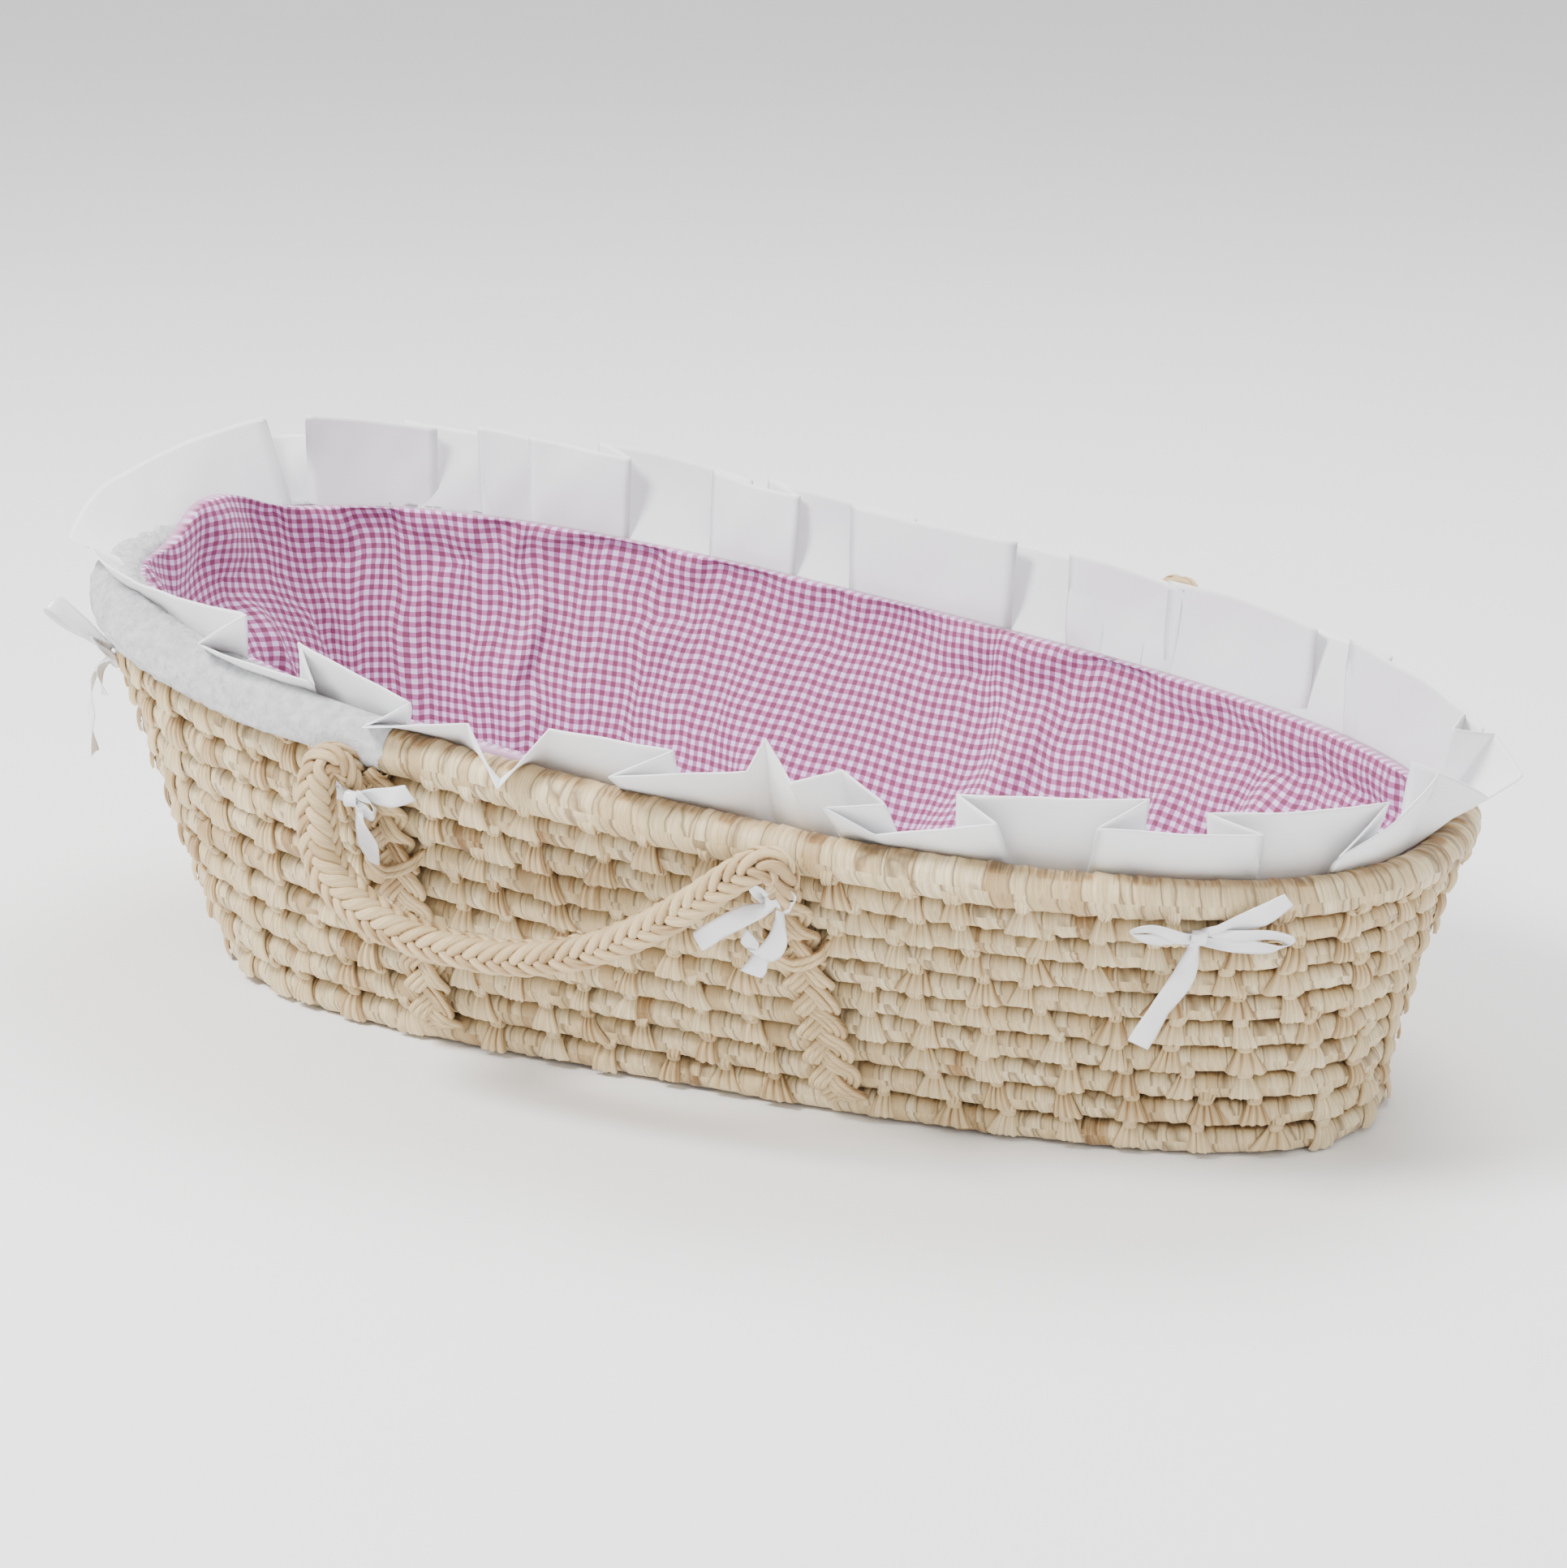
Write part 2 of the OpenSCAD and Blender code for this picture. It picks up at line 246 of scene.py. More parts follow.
class Parts:
    """Grids gathered into one mesh, each with its own UVs and tone."""

    def __init__(self):
        self.verts, self.faces, self.uvs, self.tones = [], [], [], []
        self.count = 0

    def grid(self, points, u, v, tone=0.5, wrap_rows=False, wrap_columns=False, flip=False):
        """points is rows x columns x 3; u and v are surface lengths in metres on the same grid.
        A wrapped direction gets its closing UV from the step before it."""
        rows, columns = points.shape[:2]
        quads = grid_faces(rows, columns, wrap_rows, wrap_columns)
        u, v = np.broadcast_to(u, (rows, columns)), np.broadcast_to(v, (rows, columns))
        corner_uv = np.stack([u.ravel()[quads], v.ravel()[quads]], -1)
        if wrap_rows:
            last = quads[:, 0] // columns == rows - 1
            step = u[-1] - u[-2]
            column = quads[last] % columns
            for corner in (1, 2):
                corner_uv[last, corner, 0] = (u[-1] + step)[column[:, corner]]
                corner_uv[last, corner, 1] = v[-1][column[:, corner]]
        if wrap_columns:
            last = quads[:, 0] % columns == columns - 1
            step = v[:, -1] - v[:, -2]
            row = quads[last] // columns
            for corner in (2, 3):
                corner_uv[last, corner, 1] = (v[:, -1] + step)[row[:, corner]]
                corner_uv[last, corner, 0] = u[:, -1][row[:, corner]]
        if flip:
            quads, corner_uv = quads[:, ::-1], corner_uv[:, ::-1]
        self.verts.append(points.reshape(-1, 3))
        self.faces.append(quads + self.count)
        self.uvs.append(corner_uv.reshape(-1, 2))
        self.tones.append(np.broadcast_to(tone, (rows, columns)).ravel())
        self.count += rows * columns

    def make(self, name):
        return make_mesh(name, np.concatenate(self.verts), np.concatenate(self.faces),
                         np.concatenate(self.uvs), {"tone": np.concatenate(self.tones)})


def place(obj, material, body, slot, *nodes):
    """Gives a finished piece its material and its body, and hides the CAD nodes that it stands for; slot is
    not used.
    """
    obj.data.materials.clear()
    obj.data.materials.append(material)
    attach(obj, body)
    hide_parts(*nodes)
    return obj


# ---- materials -------------------------------------------------------------

class Shader:
    """A material's node tree, with short calls to add and join nodes."""

    def __init__(self, name, roughness, sheen=0.0, subsurface=0.0):
        self.material = bpy.data.materials.new(name)
        self.material.use_nodes = True
        self.tree = self.material.node_tree
        self.bsdf = self.tree.nodes["Principled BSDF"]
        self.bsdf.inputs["Roughness"].default_value = roughness
        self.bsdf.inputs["Sheen Weight"].default_value = sheen
        self.bsdf.inputs["Sheen Roughness"].default_value = 0.5
        self.bsdf.inputs["Subsurface Weight"].default_value = subsurface
        self.bsdf.inputs["Subsurface Scale"].default_value = 0.004

    def node(self, kind, **settings):
        node = self.tree.nodes.new("ShaderNode" + kind)
        for key, value in settings.items():
            setattr(node, key, value)
        return node

    def join(self, source, target):
        self.tree.links.new(source, target)

    def number(self, socket, value):
        if isinstance(value, (int, float)):
            socket.default_value = value
        else:
            self.join(value, socket)

    def math(self, operation, a, b=0.0, clamp=False):
        node = self.node("Math", operation=operation, use_clamp=clamp)
        self.number(node.inputs[0], a)
        self.number(node.inputs[1], b)
        return node.outputs[0]

    def blend(self, factor, a, b):
        node = self.node("Mix", data_type="RGBA")
        self.number(node.inputs[0], factor)
        for socket, value in ((node.inputs[6], a), (node.inputs[7], b)):
            if isinstance(value, tuple):
                socket.default_value = (*value, 1)
            else:
                self.join(value, socket)
        return node.outputs[2]

    def ramp(self, value, *stops):
        node = self.node("ValToRGB")
        ramp = node.color_ramp
        while len(ramp.elements) < len(stops):
            ramp.elements.new(0.5)
        for element, (place_, colour) in zip(ramp.elements, stops):
            element.position = place_
            element.color = (*colour, 1)
        self.number(node.inputs[0], value)
        return node.outputs[0]

    def uv(self, scale_u, scale_v):
        mapping = self.node("Mapping")
        mapping.inputs["Scale"].default_value = (scale_u, scale_v, 1)
        self.join(self.node("UVMap", uv_map="UVMap").outputs[0], mapping.inputs[0])
        return mapping.outputs[0]

    def place(self):
        return self.node("TexCoord").outputs["Object"]

    def noise(self, vector, scale, detail=3.0, roughness=0.55, distortion=0.0):
        node = self.node("TexNoise")
        node.inputs["Scale"].default_value = scale
        node.inputs["Detail"].default_value = detail
        node.inputs["Roughness"].default_value = roughness
        node.inputs["Distortion"].default_value = distortion
        self.join(vector, node.inputs["Vector"])
        return node.outputs["Fac"]

    def attribute(self, name):
        return self.node("Attribute", attribute_name=name).outputs["Fac"]

    def colour(self, value):
        self.join(value, self.bsdf.inputs["Base Color"])

    def bump(self, height, distance, strength=1.0, after=None):
        node = self.node("Bump")
        node.inputs["Distance"].default_value = distance
        node.inputs["Strength"].default_value = strength
        self.join(height, node.inputs["Height"])
        if after is not None:
            self.join(after, node.inputs["Normal"])
        self.join(node.outputs[0], self.bsdf.inputs["Normal"])
        return node.outputs[0]

    def rough(self, value):
        self.join(value, self.bsdf.inputs["Roughness"])


def husk_material(name, light, middle, dark, streak=420.0, strips=None):
    """Dried husk: fibres that run round the coil, pale and tan strips with painted shade in the creases along
    their edges, small stains.
    strips is how many strip edges there are to a metre, or None where each piece of the mesh is one strip."""
    s = Shader(name, 0.55, sheen=0.10)
    s.bsdf.inputs["Specular IOR Level"].default_value = 0.35
    fibres = s.noise(s.uv(streak, 26), 1.0, 4, 0.6, 0.3)
    hairs = s.noise(s.uv(streak * 3.2, 34), 1.0, 3, 0.6, 0.2)
    patches = s.noise(s.uv(30, 22), 1.0, 3, 0.55)
    # The tone attribute is each strip's own tone together with the painted shade that the meshes add between
    # coils, under knots and between lobes.
    tone = s.math("ADD", s.math("MULTIPLY", s.attribute("tone"), 0.55), s.math("MULTIPLY", patches, 0.45))
    if strips:
        cells = s.node("TexVoronoi", feature="F1")
        edges = s.node("TexVoronoi", feature="DISTANCE_TO_EDGE")
        bent = s.node("VectorMath", operation="ADD")
        s.join(s.uv(strips, 3), bent.inputs[0])
        warp = s.node("TexNoise")
        warp.inputs["Scale"].default_value = 1.0
        s.join(s.uv(70, 60), warp.inputs["Vector"])
        shift = s.node("VectorMath", operation="SCALE")
        shift.inputs["Scale"].default_value = 0.22
        s.join(warp.outputs["Color"], shift.inputs[0])
        s.join(shift.outputs[0], bent.inputs[1])
        for cell in (cells, edges):
            cell.inputs["Scale"].default_value = 1.0
            s.join(bent.outputs[0], cell.inputs["Vector"])
        grey = s.node("RGBToBW")
        s.join(cells.outputs["Color"], grey.inputs[0])
        tone = s.math("ADD", s.math("MULTIPLY", tone, 0.62), s.math("MULTIPLY", grey.outputs[0], 0.40))
    base = s.ramp(tone, (0.12, tuple(0.5 * d for d in dark)), (0.30, dark), (0.46, middle), (0.72, light))
    veined = s.blend(s.ramp(fibres, (0.34, (1, 1, 1)), (0.56, (0, 0, 0))), base,
                     tuple(0.72 * m + 0.10 * d for m, d in zip(middle, dark)))
    lined = s.blend(s.math("MULTIPLY", s.ramp(hairs, (0.30, (1, 1, 1)), (0.44, (0, 0, 0))), 0.5), veined,
                    tuple(0.55 * d for d in dark))
    if strips:
        # Painted shade: darker in the creases along the edges of the husk strips.
        crease = s.ramp(edges.outputs["Distance"], (0.0, (1, 1, 1)), (0.045, (0, 0, 0)))
        lined = s.blend(s.math("MULTIPLY", crease, 0.75), lined, tuple(0.42 * d for d in dark))
    stains = s.ramp(s.noise(s.place(), 34.0, 4, 0.6), (0.60, (0, 0, 0)), (0.76, (1, 1, 1)))
    s.colour(s.blend(s.math("MULTIPLY", stains, 0.35), lined, tuple(0.9 * d for d in dark)))
    first = s.bump(fibres, 0.0007, 0.6)
    second = s.bump(hairs, 0.00025, 0.6, after=first)
    if strips:
        flat = s.ramp(edges.outputs["Distance"], (0.0, (0, 0, 0)), (0.09, (1, 1, 1)))
        s.bump(flat, 0.0006, 0.8, after=second)
    s.rough(s.math("ADD", 0.42, s.math("MULTIPLY", patches, 0.22)))
    return s.material


HUSK = (0.78, 0.66, 0.42), (0.66, 0.50, 0.27), (0.31, 0.17, 0.06)
BRAID = (0.73, 0.585, 0.34), (0.63, 0.46, 0.245), (0.27, 0.145, 0.05)


# ---- husk coils ------------------------------------------------------------

def strip_pattern(s, length, seed, narrow=0.008, wide=0.018):
    """For places s along a ring: the husk strip's number, the share of it passed, and the count of strips."""
    rng = np.random.default_rng(seed)
    widths = []
    while sum(widths) < length:
        widths.append(rng.uniform(narrow, wide))
    widths = np.array(widths) * length / sum(widths)
    edges = np.concatenate([[0], np.cumsum(widths)])
    wrapped = np.mod(s, length)
    index = np.clip(np.searchsorted(edges, wrapped, side="right") - 1, 0, len(widths) - 1)
    return index, (wrapped - edges[index]) / widths[index], len(widths)


KNOT_PITCH = 0.0325


def knot_places(row):
    """Where the husk is knotted between coil row - 1 and coil row, as lengths along the upper ring."""
    ring = RINGS[row]
    rng = np.random.default_rng(100 + row)
    count = round(ring.length / KNOT_PITCH)
    even = (np.arange(count) + 0.5 * (row % 2) + 0.2 * row) / count
    return np.mod(even * ring.length + rng.uniform(-0.007, 0.007, count), ring.length)


KNOTS = {row: knot_places(row) for row in range(1, RIM_ROW + 1)}


def nearest(s, places, length):
    """Signed distance from each s to the nearest of the places on a closed ring."""
    d = s[..., None] - places
    d = (d + length / 2) % length - length / 2
    return np.take_along_axis(d, np.abs(d).argmin(-1)[..., None], -1)[..., 0]


def husk_coil(row, step=0.0011, around=32):
    """One coil of the wall, wrapped in overlapping strips and drawn in where the knots bite."""
    ring, u = RINGS[row], rise(row)
    n = int(ring.length / step)
    s = np.arange(n) * ring.length / n
    a = np.arange(around) / around * TAU
    t = ring.angle(s)
    r = row_r(t, row)[:, None]
    lean = 0.22 * r * np.sin(a)[None, :] + 0.10 * r * np.cos(2 * a)[None, :]
    along = s[:, None] + lean
    index, share, strips = strip_pattern(along, ring.length, 300 + row)
    rng = np.random.default_rng(500 + row)
    lift = rng.uniform(0.0003, 0.0014, strips)[index]
    tone = (0.62 + 0.16 * rng.standard_normal(strips) - 0.35 * (rng.random(strips) < 0.06))[index]
    overlap = lift * (1 - share) ** 1.5 - 0.0007 * np.exp(-(share / 0.05) ** 2)
    strength = 0.5 + 0.5 * wave_noise(along / 0.03, 710 + row)
    pleat = 0.00022 * wave_noise(along / 0.0021, 700 + row, 3) * strength
    swell = r * (0.035 * wave_noise(s / 0.035, 720 + row)[:, None] - 0.02)
    down = np.clip(-np.sin(a), 0, 1)[None, :] ** 2
    up = np.clip(np.sin(a), 0, 1)[None, :] ** 2
    below = above = np.full((n, 1), 1.0)
    if row > 0:
        below = np.abs(nearest(s, KNOTS[row], ring.length))[:, None]
    if row < RIM_ROW:
        upper = RINGS[row + 1]
        places = ring_map(KNOTS[row + 1], upper, ring)
        above = np.abs(nearest(s, places, ring.length))[:, None]
    lower_side = (-0.0013 - 0.0008 * np.exp(-(below / 0.005) ** 2)) * down
    upper_side = (-0.0013 - 0.0008 * np.exp(-(above / 0.005) ** 2)) * up
    lip = 0.07 * r * np.exp(-((a + 0.9 - TAU * (a > math.pi)) / 0.5) ** 2)[None, :]
    radius = r + overlap + pleat + swell + lower_side + upper_side + lip
    centre, n_out = wall_point(t, u), outward(t, u)
    points = (centre[:, None, :] + n_out[:, None, :] * (radius * np.cos(a))[..., None]
              + UP * (radius * np.sin(a))[..., None])
    points[..., 2] = np.maximum(points[..., 2], 0.0002)
    between = 0.5 + 0.5 * smooth(np.minimum(below, above), 0.003, 0.009)
    shade = smooth(np.abs(np.sin(a))[None, :], 0.66, 1.0) * between + 0.30 * np.exp(-(share / 0.06) ** 2)
    parts = Parts()
    parts.grid(points, along, r * a[None, :], tone - 0.85 * shade, wrap_rows=True, wrap_columns=True)
    return parts.make("rim_coil_husk" if row == RIM_ROW else f"coil_husk_{row + 1}")


def ring_map(places, source, target):
    """Lengths along one ring turned into lengths along another at the same angles."""
    angles = source.angle(places)
    return np.interp(np.mod(angles, TAU), target.angles, target.lengths)


# ---- knots and fans of husk ------------------------------------------------

def fan(parts, ring_u, t0, row, a0, a1, w0, w1, drift, rng, lift_end, tone, rows=10, columns=15, top=False):
    """A gathered strip of husk that opens out over a coil, from angle a0 to a1 of its section.
    w0 and w1 are its half widths; top fans end flush with the coil."""
    v = np.linspace(0, 1, rows)[:, None]
    w = np.linspace(-1, 1, columns)[None, :]
    half = mix(w0, w1, v ** 0.85) * (1 + 0.10 * np.sin(w * 5 + rng.uniform(0, TAU)) * v)
    length = half * w + drift * v
    speed = np.linalg.norm(wall_point(t0 + 0.01, ring_u) - wall_point(t0 - 0.01, ring_u)) / 0.02
    t = t0 + length / speed
    r = row_r(t, row)
    ragged = 0.06 * wave_noise(np.broadcast_to(w * 9, (rows, columns)), int(rng.integers(1e6)), 3) * v ** 3
    a = mix(a0, a1, v) + ragged * np.sign(a1 - a0)
    ridges = np.abs(np.sin(w * math.pi * rng.uniform(1.3, 2.3) + rng.uniform(0, TAU))) ** 0.6
    edge = smooth(1 - np.abs(w), 0, 0.18)
    # Painted shade: darker in the valleys between the ridges, in a band by the knot where the fan starts, and
    # along the fan's two edges.
    tone = tone - 0.75 * (1 - ridges) * (1 - 0.35 * v) - 0.5 * (1 - smooth(v, 0, 0.30)) - 0.3 * (1 - edge)
    lift = (0.0009 + 0.0015 * ridges * (1 - 0.30 * v)) * edge + 0.0002 + lift_end * v ** 2.5
    if top:
        lift = lift * (1 - smooth(v, 0.5, 1)) - 0.0006 * smooth(v, 0.5, 1)
    radius = r + lift
    centre, n_out = wall_point(t, ring_u), outward(t, ring_u)
    points = centre + n_out * (radius * np.cos(a))[..., None]
    points[..., 2] += radius * np.sin(a)
    mid_r = float(row_r(np.asarray(t0), row))
    parts.grid(points, mix(w0, w1, 0.6) * w, mid_r * a, tone, flip=(a1 > a0))


def knot(parts, centre, n_out, along, up, rng, tone, rows=9, columns=12):
    """The small round knot between two coils, with its wrap lines lying along the row."""
    a = np.linspace(-math.pi / 2, math.pi / 2, rows)[:, None]
    b = np.arange(columns)[None, :] / columns * TAU
    half = np.array([0.0038, 0.0031, 0.0034]) * rng.uniform(0.85, 1.2, 3)
    wrap = 1 + 0.10 * np.cos(3 * b + rng.uniform(0, TAU)) + 0.05 * np.cos(7 * b)
    x = half[0] * np.sign(np.sin(a)) * np.abs(np.sin(a)) ** 0.8 * np.ones_like(b)
    y = half[1] * np.cos(a) ** 0.7 * np.cos(b) * wrap
    z = half[2] * np.cos(a) ** 0.7 * np.sin(b) * wrap
    points = centre + along * x[..., None] + n_out * y[..., None] + up * z[..., None]
    parts.grid(points, b * 0.004, a * 0.004, tone, wrap_columns=True)


def husk_knots(row):
    """All the knots between coil row - 1 and coil row, each with a gather above and a fan below."""
    upper, lower = rise(row), rise(row - 1)
    rng = np.random.default_rng(900 + row)
    parts = Parts()
    strap_places = [math.radians(mix(base, rim, upper)) for rim, base in STRAP_ANGLES.values()]
    for s in KNOTS[row]:
        t = float(RINGS[row].angle(s))
        if min(abs(t - place_) for place_ in strap_places) < 0.052:
            continue
        tone = rng.uniform(0.35, 0.9)
        r_up, r_low = float(row_r(np.asarray(t), row)), float(coil_r(np.asarray(t)))
        a, b = wall_point(t, lower), wall_point(t, upper)
        up = unit(b - a)
        n_out = outward(t, upper)
        along = np.array([-n_out[1], n_out[0], 0.0])
        valley = a + (b - a) * r_low / (r_low + r_up)
        valley = valley + n_out * (0.74 * min(r_up, r_low)) * rng.uniform(0.95, 1.08)
        drift = rng.uniform(-0.003, 0.003)
        wide = rng.uniform(0.0085, 0.0110) if rng.random() < 0.3 else rng.uniform(0.0060, 0.0085)
        fan(parts, lower, t, row - 1, 1.10, -0.25 - rng.uniform(0, 0.45), 0.0024, wide,
            drift, rng, rng.uniform(0.0006, 0.0022), tone)
        fan(parts, upper, t, row, -1.10, -0.25, 0.0024, rng.uniform(0.0036, 0.0056),
            rng.uniform(-0.002, 0.002), rng, 0.0, tone, rows=7, columns=11, top=True)
        knot(parts, valley, n_out, along, up, rng, tone * 0.9)
    return parts.make(f"husk_knots_{row}")


def build_wall(husk, husk_knot):
    for row in range(RIM_ROW + 1):
        node = "rim_coil" if row == RIM_ROW else f"coil_0{row + 1}"
        place(husk_coil(row), husk, "basket", "husk", node)
    for row in range(1, RIM_ROW + 1):
        place(husk_knots(row), husk_knot, "basket", "husk_tie", f"husk_ties_0{row}")


# ---- camera, floor and light -----------------------------------------------

CAMERA_AT, LENS_MM, SENSOR_MM = (0.8544, -1.7296, 0.7950), 83.7, 36
CAMERA_YAW, CAMERA_DOWN, CAMERA_ROLL = 26.0, 18.98, 0.53
WORLD_LIGHT = 1.02
LIT_POINT = (0, 0, 0.12)
LIGHTS = {
    # place, size in metres and watts
    "key": ((-1.2, -1.5, 2.5), 1.0, 150),
    "fill": ((2.2, -1.2, 1.3), 1.8, 16),
    "top": ((0.1, 0.9, 2.4), 1.5, 60)}
FLOOR_REACH = 14.0


def rotation(degrees, axis):
    return Matrix.Rotation(math.radians(degrees), 3, axis)


def build_camera():
    data = bpy.data.cameras.new("camera")
    data.sensor_width = SENSOR_MM
    data.lens = LENS_MM
    camera = bpy.data.objects.new("camera", data)
    camera.location = CAMERA_AT
    turn = rotation(CAMERA_YAW, "Z") @ rotation(90 - CAMERA_DOWN, "X") @ rotation(CAMERA_ROLL, "Z")
    camera.rotation_euler = turn.to_euler()
    bpy.context.scene.collection.objects.link(camera)
    bpy.context.scene.camera = camera


def area_light(name, spot, size, watts):
    data = bpy.data.lights.new(name, "AREA")
    data.shape = "DISK"
    data.size = size
    data.energy = watts
    light = bpy.data.objects.new(name, data)
    light.location = spot
    light.rotation_euler = (Vector(LIT_POINT) - Vector(spot)).to_track_quat("-Z", "Y").to_euler()
    bpy.context.scene.collection.objects.link(light)


def build_studio():
    s = Shader("studio_floor", 0.85)
    grain = s.noise(s.place(), 6.0, 2)
    s.colour(s.ramp(grain, (0.3, (0.94, 0.94, 0.94)), (0.7, (0.955, 0.955, 0.955))))
    corners = [(x * FLOOR_REACH, y * FLOOR_REACH, 0) for x, y in ((-1, -1), (1, -1), (1, 1), (-1, 1))]
    floor = make_mesh("studio_floor", corners, [[0, 1, 2, 3]])
    floor.data.materials.append(s.material)
    world = bpy.data.worlds.new("studio_world")
    world.use_nodes = True
    world.node_tree.nodes["Background"].inputs[0].default_value = (1, 1, 1, 1)
    world.node_tree.nodes["Background"].inputs[1].default_value = WORLD_LIGHT
    bpy.context.scene.world = world
    for name, settings in LIGHTS.items():
        area_light(name, *settings)


# ---- rope handles ----------------------------------------------------------

# The rope's middle line along X and up from the head turn, in millimetres, as in part.scad with both turns.
# ROPE_TUCK is how far in toward the wall its numbered points lie, and the rest hang straight.
ROPE_LINE = [
    (11, -38), (12, -22), (12, -8), (10, 2), (6, 5), (0, 1), (-3, -12),
    (-3, -30), (-1, -48), (8, -64), (26, -77), (50, -85), (80, -88), (112, -87),
    (143, -80), (172, -68), (199, -52), (221, -36), (240, -21), (254, -12), (262, -13), (262, -24),
    (256, -38)]
HEAD_TURN_END, FOOT_TURN_START = 7, 18
ROPE_TUCK = [(0, 21), (1, 17), (2, 12), (3, 6), (4, 2), (20, 4), (21, 11), (22, 19)]
ROPE_SAMPLES = 900
# How thick the rope is at some of its samples, as a share of its full size.
ROPE_SIZE_SAMPLES = [0, 60, 150, 260, 400, 780, 860, ROPE_SAMPLES - 1]
ROPE_SIZES = [0.50, 0.60, 0.90, 0.98, 0.84, 0.84, 0.80, 0.55]


def rope_line(side):
    """Middle line of one handle's rope, and the samples where its two turns end."""
    head = FRONT_HEAD_TURN if side < 0 else BACK_HEAD_TURN
    tuck = dict(ROPE_TUCK)
    points = [(head[0] + x * MM, head[1] - side * tuck.get(i, 0) * MM, head[2] + z * MM)
              for i, (x, z) in enumerate(ROPE_LINE)]
    line = spline(points, ROPE_SAMPLES)
    ends = (points[HEAD_TURN_END], points[FOOT_TURN_START])
    return line, [int(np.argmin(np.linalg.norm(line - np.array(end), axis=1))) for end in ends]


def frames(line, side_hint):
    """Tangents of a line, and normals nearest to side_hint, and the third direction."""
    tangent = unit(np.gradient(line, axis=0))
    normal = unit(side_hint - tangent * (tangent @ side_hint)[:, None])
    return tangent, normal, np.cross(tangent, normal)


def tube(parts, line, half_w, half_t, side, tone, sides=10, taper=0.0, twist=0.0):
    """An elliptic tube along a line: half_w lies along side, half_t across it."""
    tangent = unit(np.gradient(line, axis=0))
    side = unit(side - tangent * (side * tangent).sum(-1, keepdims=True))
    across = np.cross(tangent, side)
    n = len(line)
    a = np.arange(sides)[None, :] / sides * TAU
    from_end = np.minimum(np.arange(n), np.arange(n)[::-1])
    ends = np.sin(np.clip(from_end / (n * taper), 0, 1) * math.pi / 2)[:, None] if taper else np.ones((n, 1))
    w = np.asarray(half_w) * np.ones(n)
    t = np.asarray(half_t) * np.ones(n)
    offset = (side[:, None, :] * (w[:, None] * ends * np.cos(a))[..., None]
              + across[:, None, :] * (t[:, None] * ends * np.sin(a))[..., None])
    s = distances(line)
    # Painted shade: darker along the tube's two sides, where it meets its neighbours, and towards its tapered
    # ends.
    tone = np.asarray(tone) - 0.6 * (1 - ends) - 0.55 * np.cos(a) ** 6
    parts.grid(line[:, None, :] + offset, a * float(np.mean(w)) + twist * s[:, None], s[:, None], tone,
               wrap_columns=True, flip=True)


def braid_lobes(line, start, end, seed, pitch=0.0094, zone=math.pi / 4, slant=0.0105):
    """The rope's plait: four columns of leaning lobes over a plain core, between two samples of the line."""
    rng = np.random.default_rng(seed)
    lengths = distances(line)
    _, normal, across = frames(line, np.array([0, 1.0, 0]))

    def at(s, angle, radius):
        centre = np.stack([np.interp(s, lengths, line[:, i]) for i in range(3)], -1)
        n = unit(np.stack([np.interp(s, lengths, normal[:, i]) for i in range(3)], -1))
        b = unit(np.stack([np.interp(s, lengths, across[:, i]) for i in range(3)], -1))
        radial = n * np.cos(angle)[..., None] + b * np.sin(angle)[..., None]
        return centre + radial * radius[..., None], radial

    s0, s1 = lengths[start], lengths[min(end, len(line) - 1)]
    parts = Parts()
    core = line[start:end + 1:6]
    tube(parts, core, 0.0052, 0.0052, np.broadcast_to(normal[0], core.shape), 0.35, sides=14)
    for column in range(4):
        centre = zone + column * math.pi / 2
        lean = 1 if column % 2 == 0 else -1
        for k in range(int(np.floor(s0 / pitch)) - 1, int(np.ceil(s1 / pitch)) + 2):
            middle = (k + 0.5 * (column % 2)) * pitch + rng.uniform(-0.0004, 0.0004)
            if not s0 - 0.001 < middle < s1 + 0.001:
                continue
            f = np.linspace(-1, 1, 17)
            s = middle + slant * f
            angle = centre + lean * f * (zone + 0.16)
            size = float(np.interp(middle, lengths[ROPE_SIZE_SAMPLES], ROPE_SIZES))
            radius = size * (0.0048 + 0.0046 * np.cos(f * math.pi / 2) ** 0.55 + rng.uniform(-0.0002, 0.0003))
            path, radial = at(np.clip(s, s0 - 0.006, s1 + 0.006), angle, radius)
            line_dir = unit(np.gradient(path, axis=0))
            side = np.cross(line_dir, radial)
            width = (0.2 + 0.8 * size) * 0.0037 * (0.82 + 0.18 * np.cos(f * 1.5))
            tube(parts, path, width, 0.0026 * size, side, rng.uniform(0.35, 0.85),
                 sides=10, taper=0.12, twist=0.25)
    return parts


def build_handles(braid):
    for side, label in ((-1, "front"), (1, "back")):
        line, (a, b) = rope_line(side)
        swing = f"{label}_handle"
        rope = braid_lobes(line, a, b, 41).make(f"{label}_handle_rope")
        place(rope, braid, swing, "braid", f"{label}_handle", f"{label}_handle_eyes")
        turn = braid_lobes(line, 0, a, 42).make(f"{label}_head_turn_rope")
        place_turn(turn, braid,
                   f"{label}_turn_head")
        turn = braid_lobes(line, b, len(line) - 1, 43).make(f"{label}_foot_turn_rope")
        place_turn(turn, braid,
                   f"{label}_turn_foot")


def place_turn(obj, material, node):
    """The turn of rope at a handle's end: it gets its material and its transform baked in, and the CAD node
    that it stands for is hidden; it is attached to no body.
    """
    obj.data.materials.append(material)
    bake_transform(obj)
    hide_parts(node)


# ---- flat plaited straps and their lashings --------------------------------

STRAP_PERIOD, STRAP_REACH, STRAP_DEPTH = 0.054, 0.0094, 0.0024
STRAP_CORD_R, LASHING_R = 0.0021, 0.0019


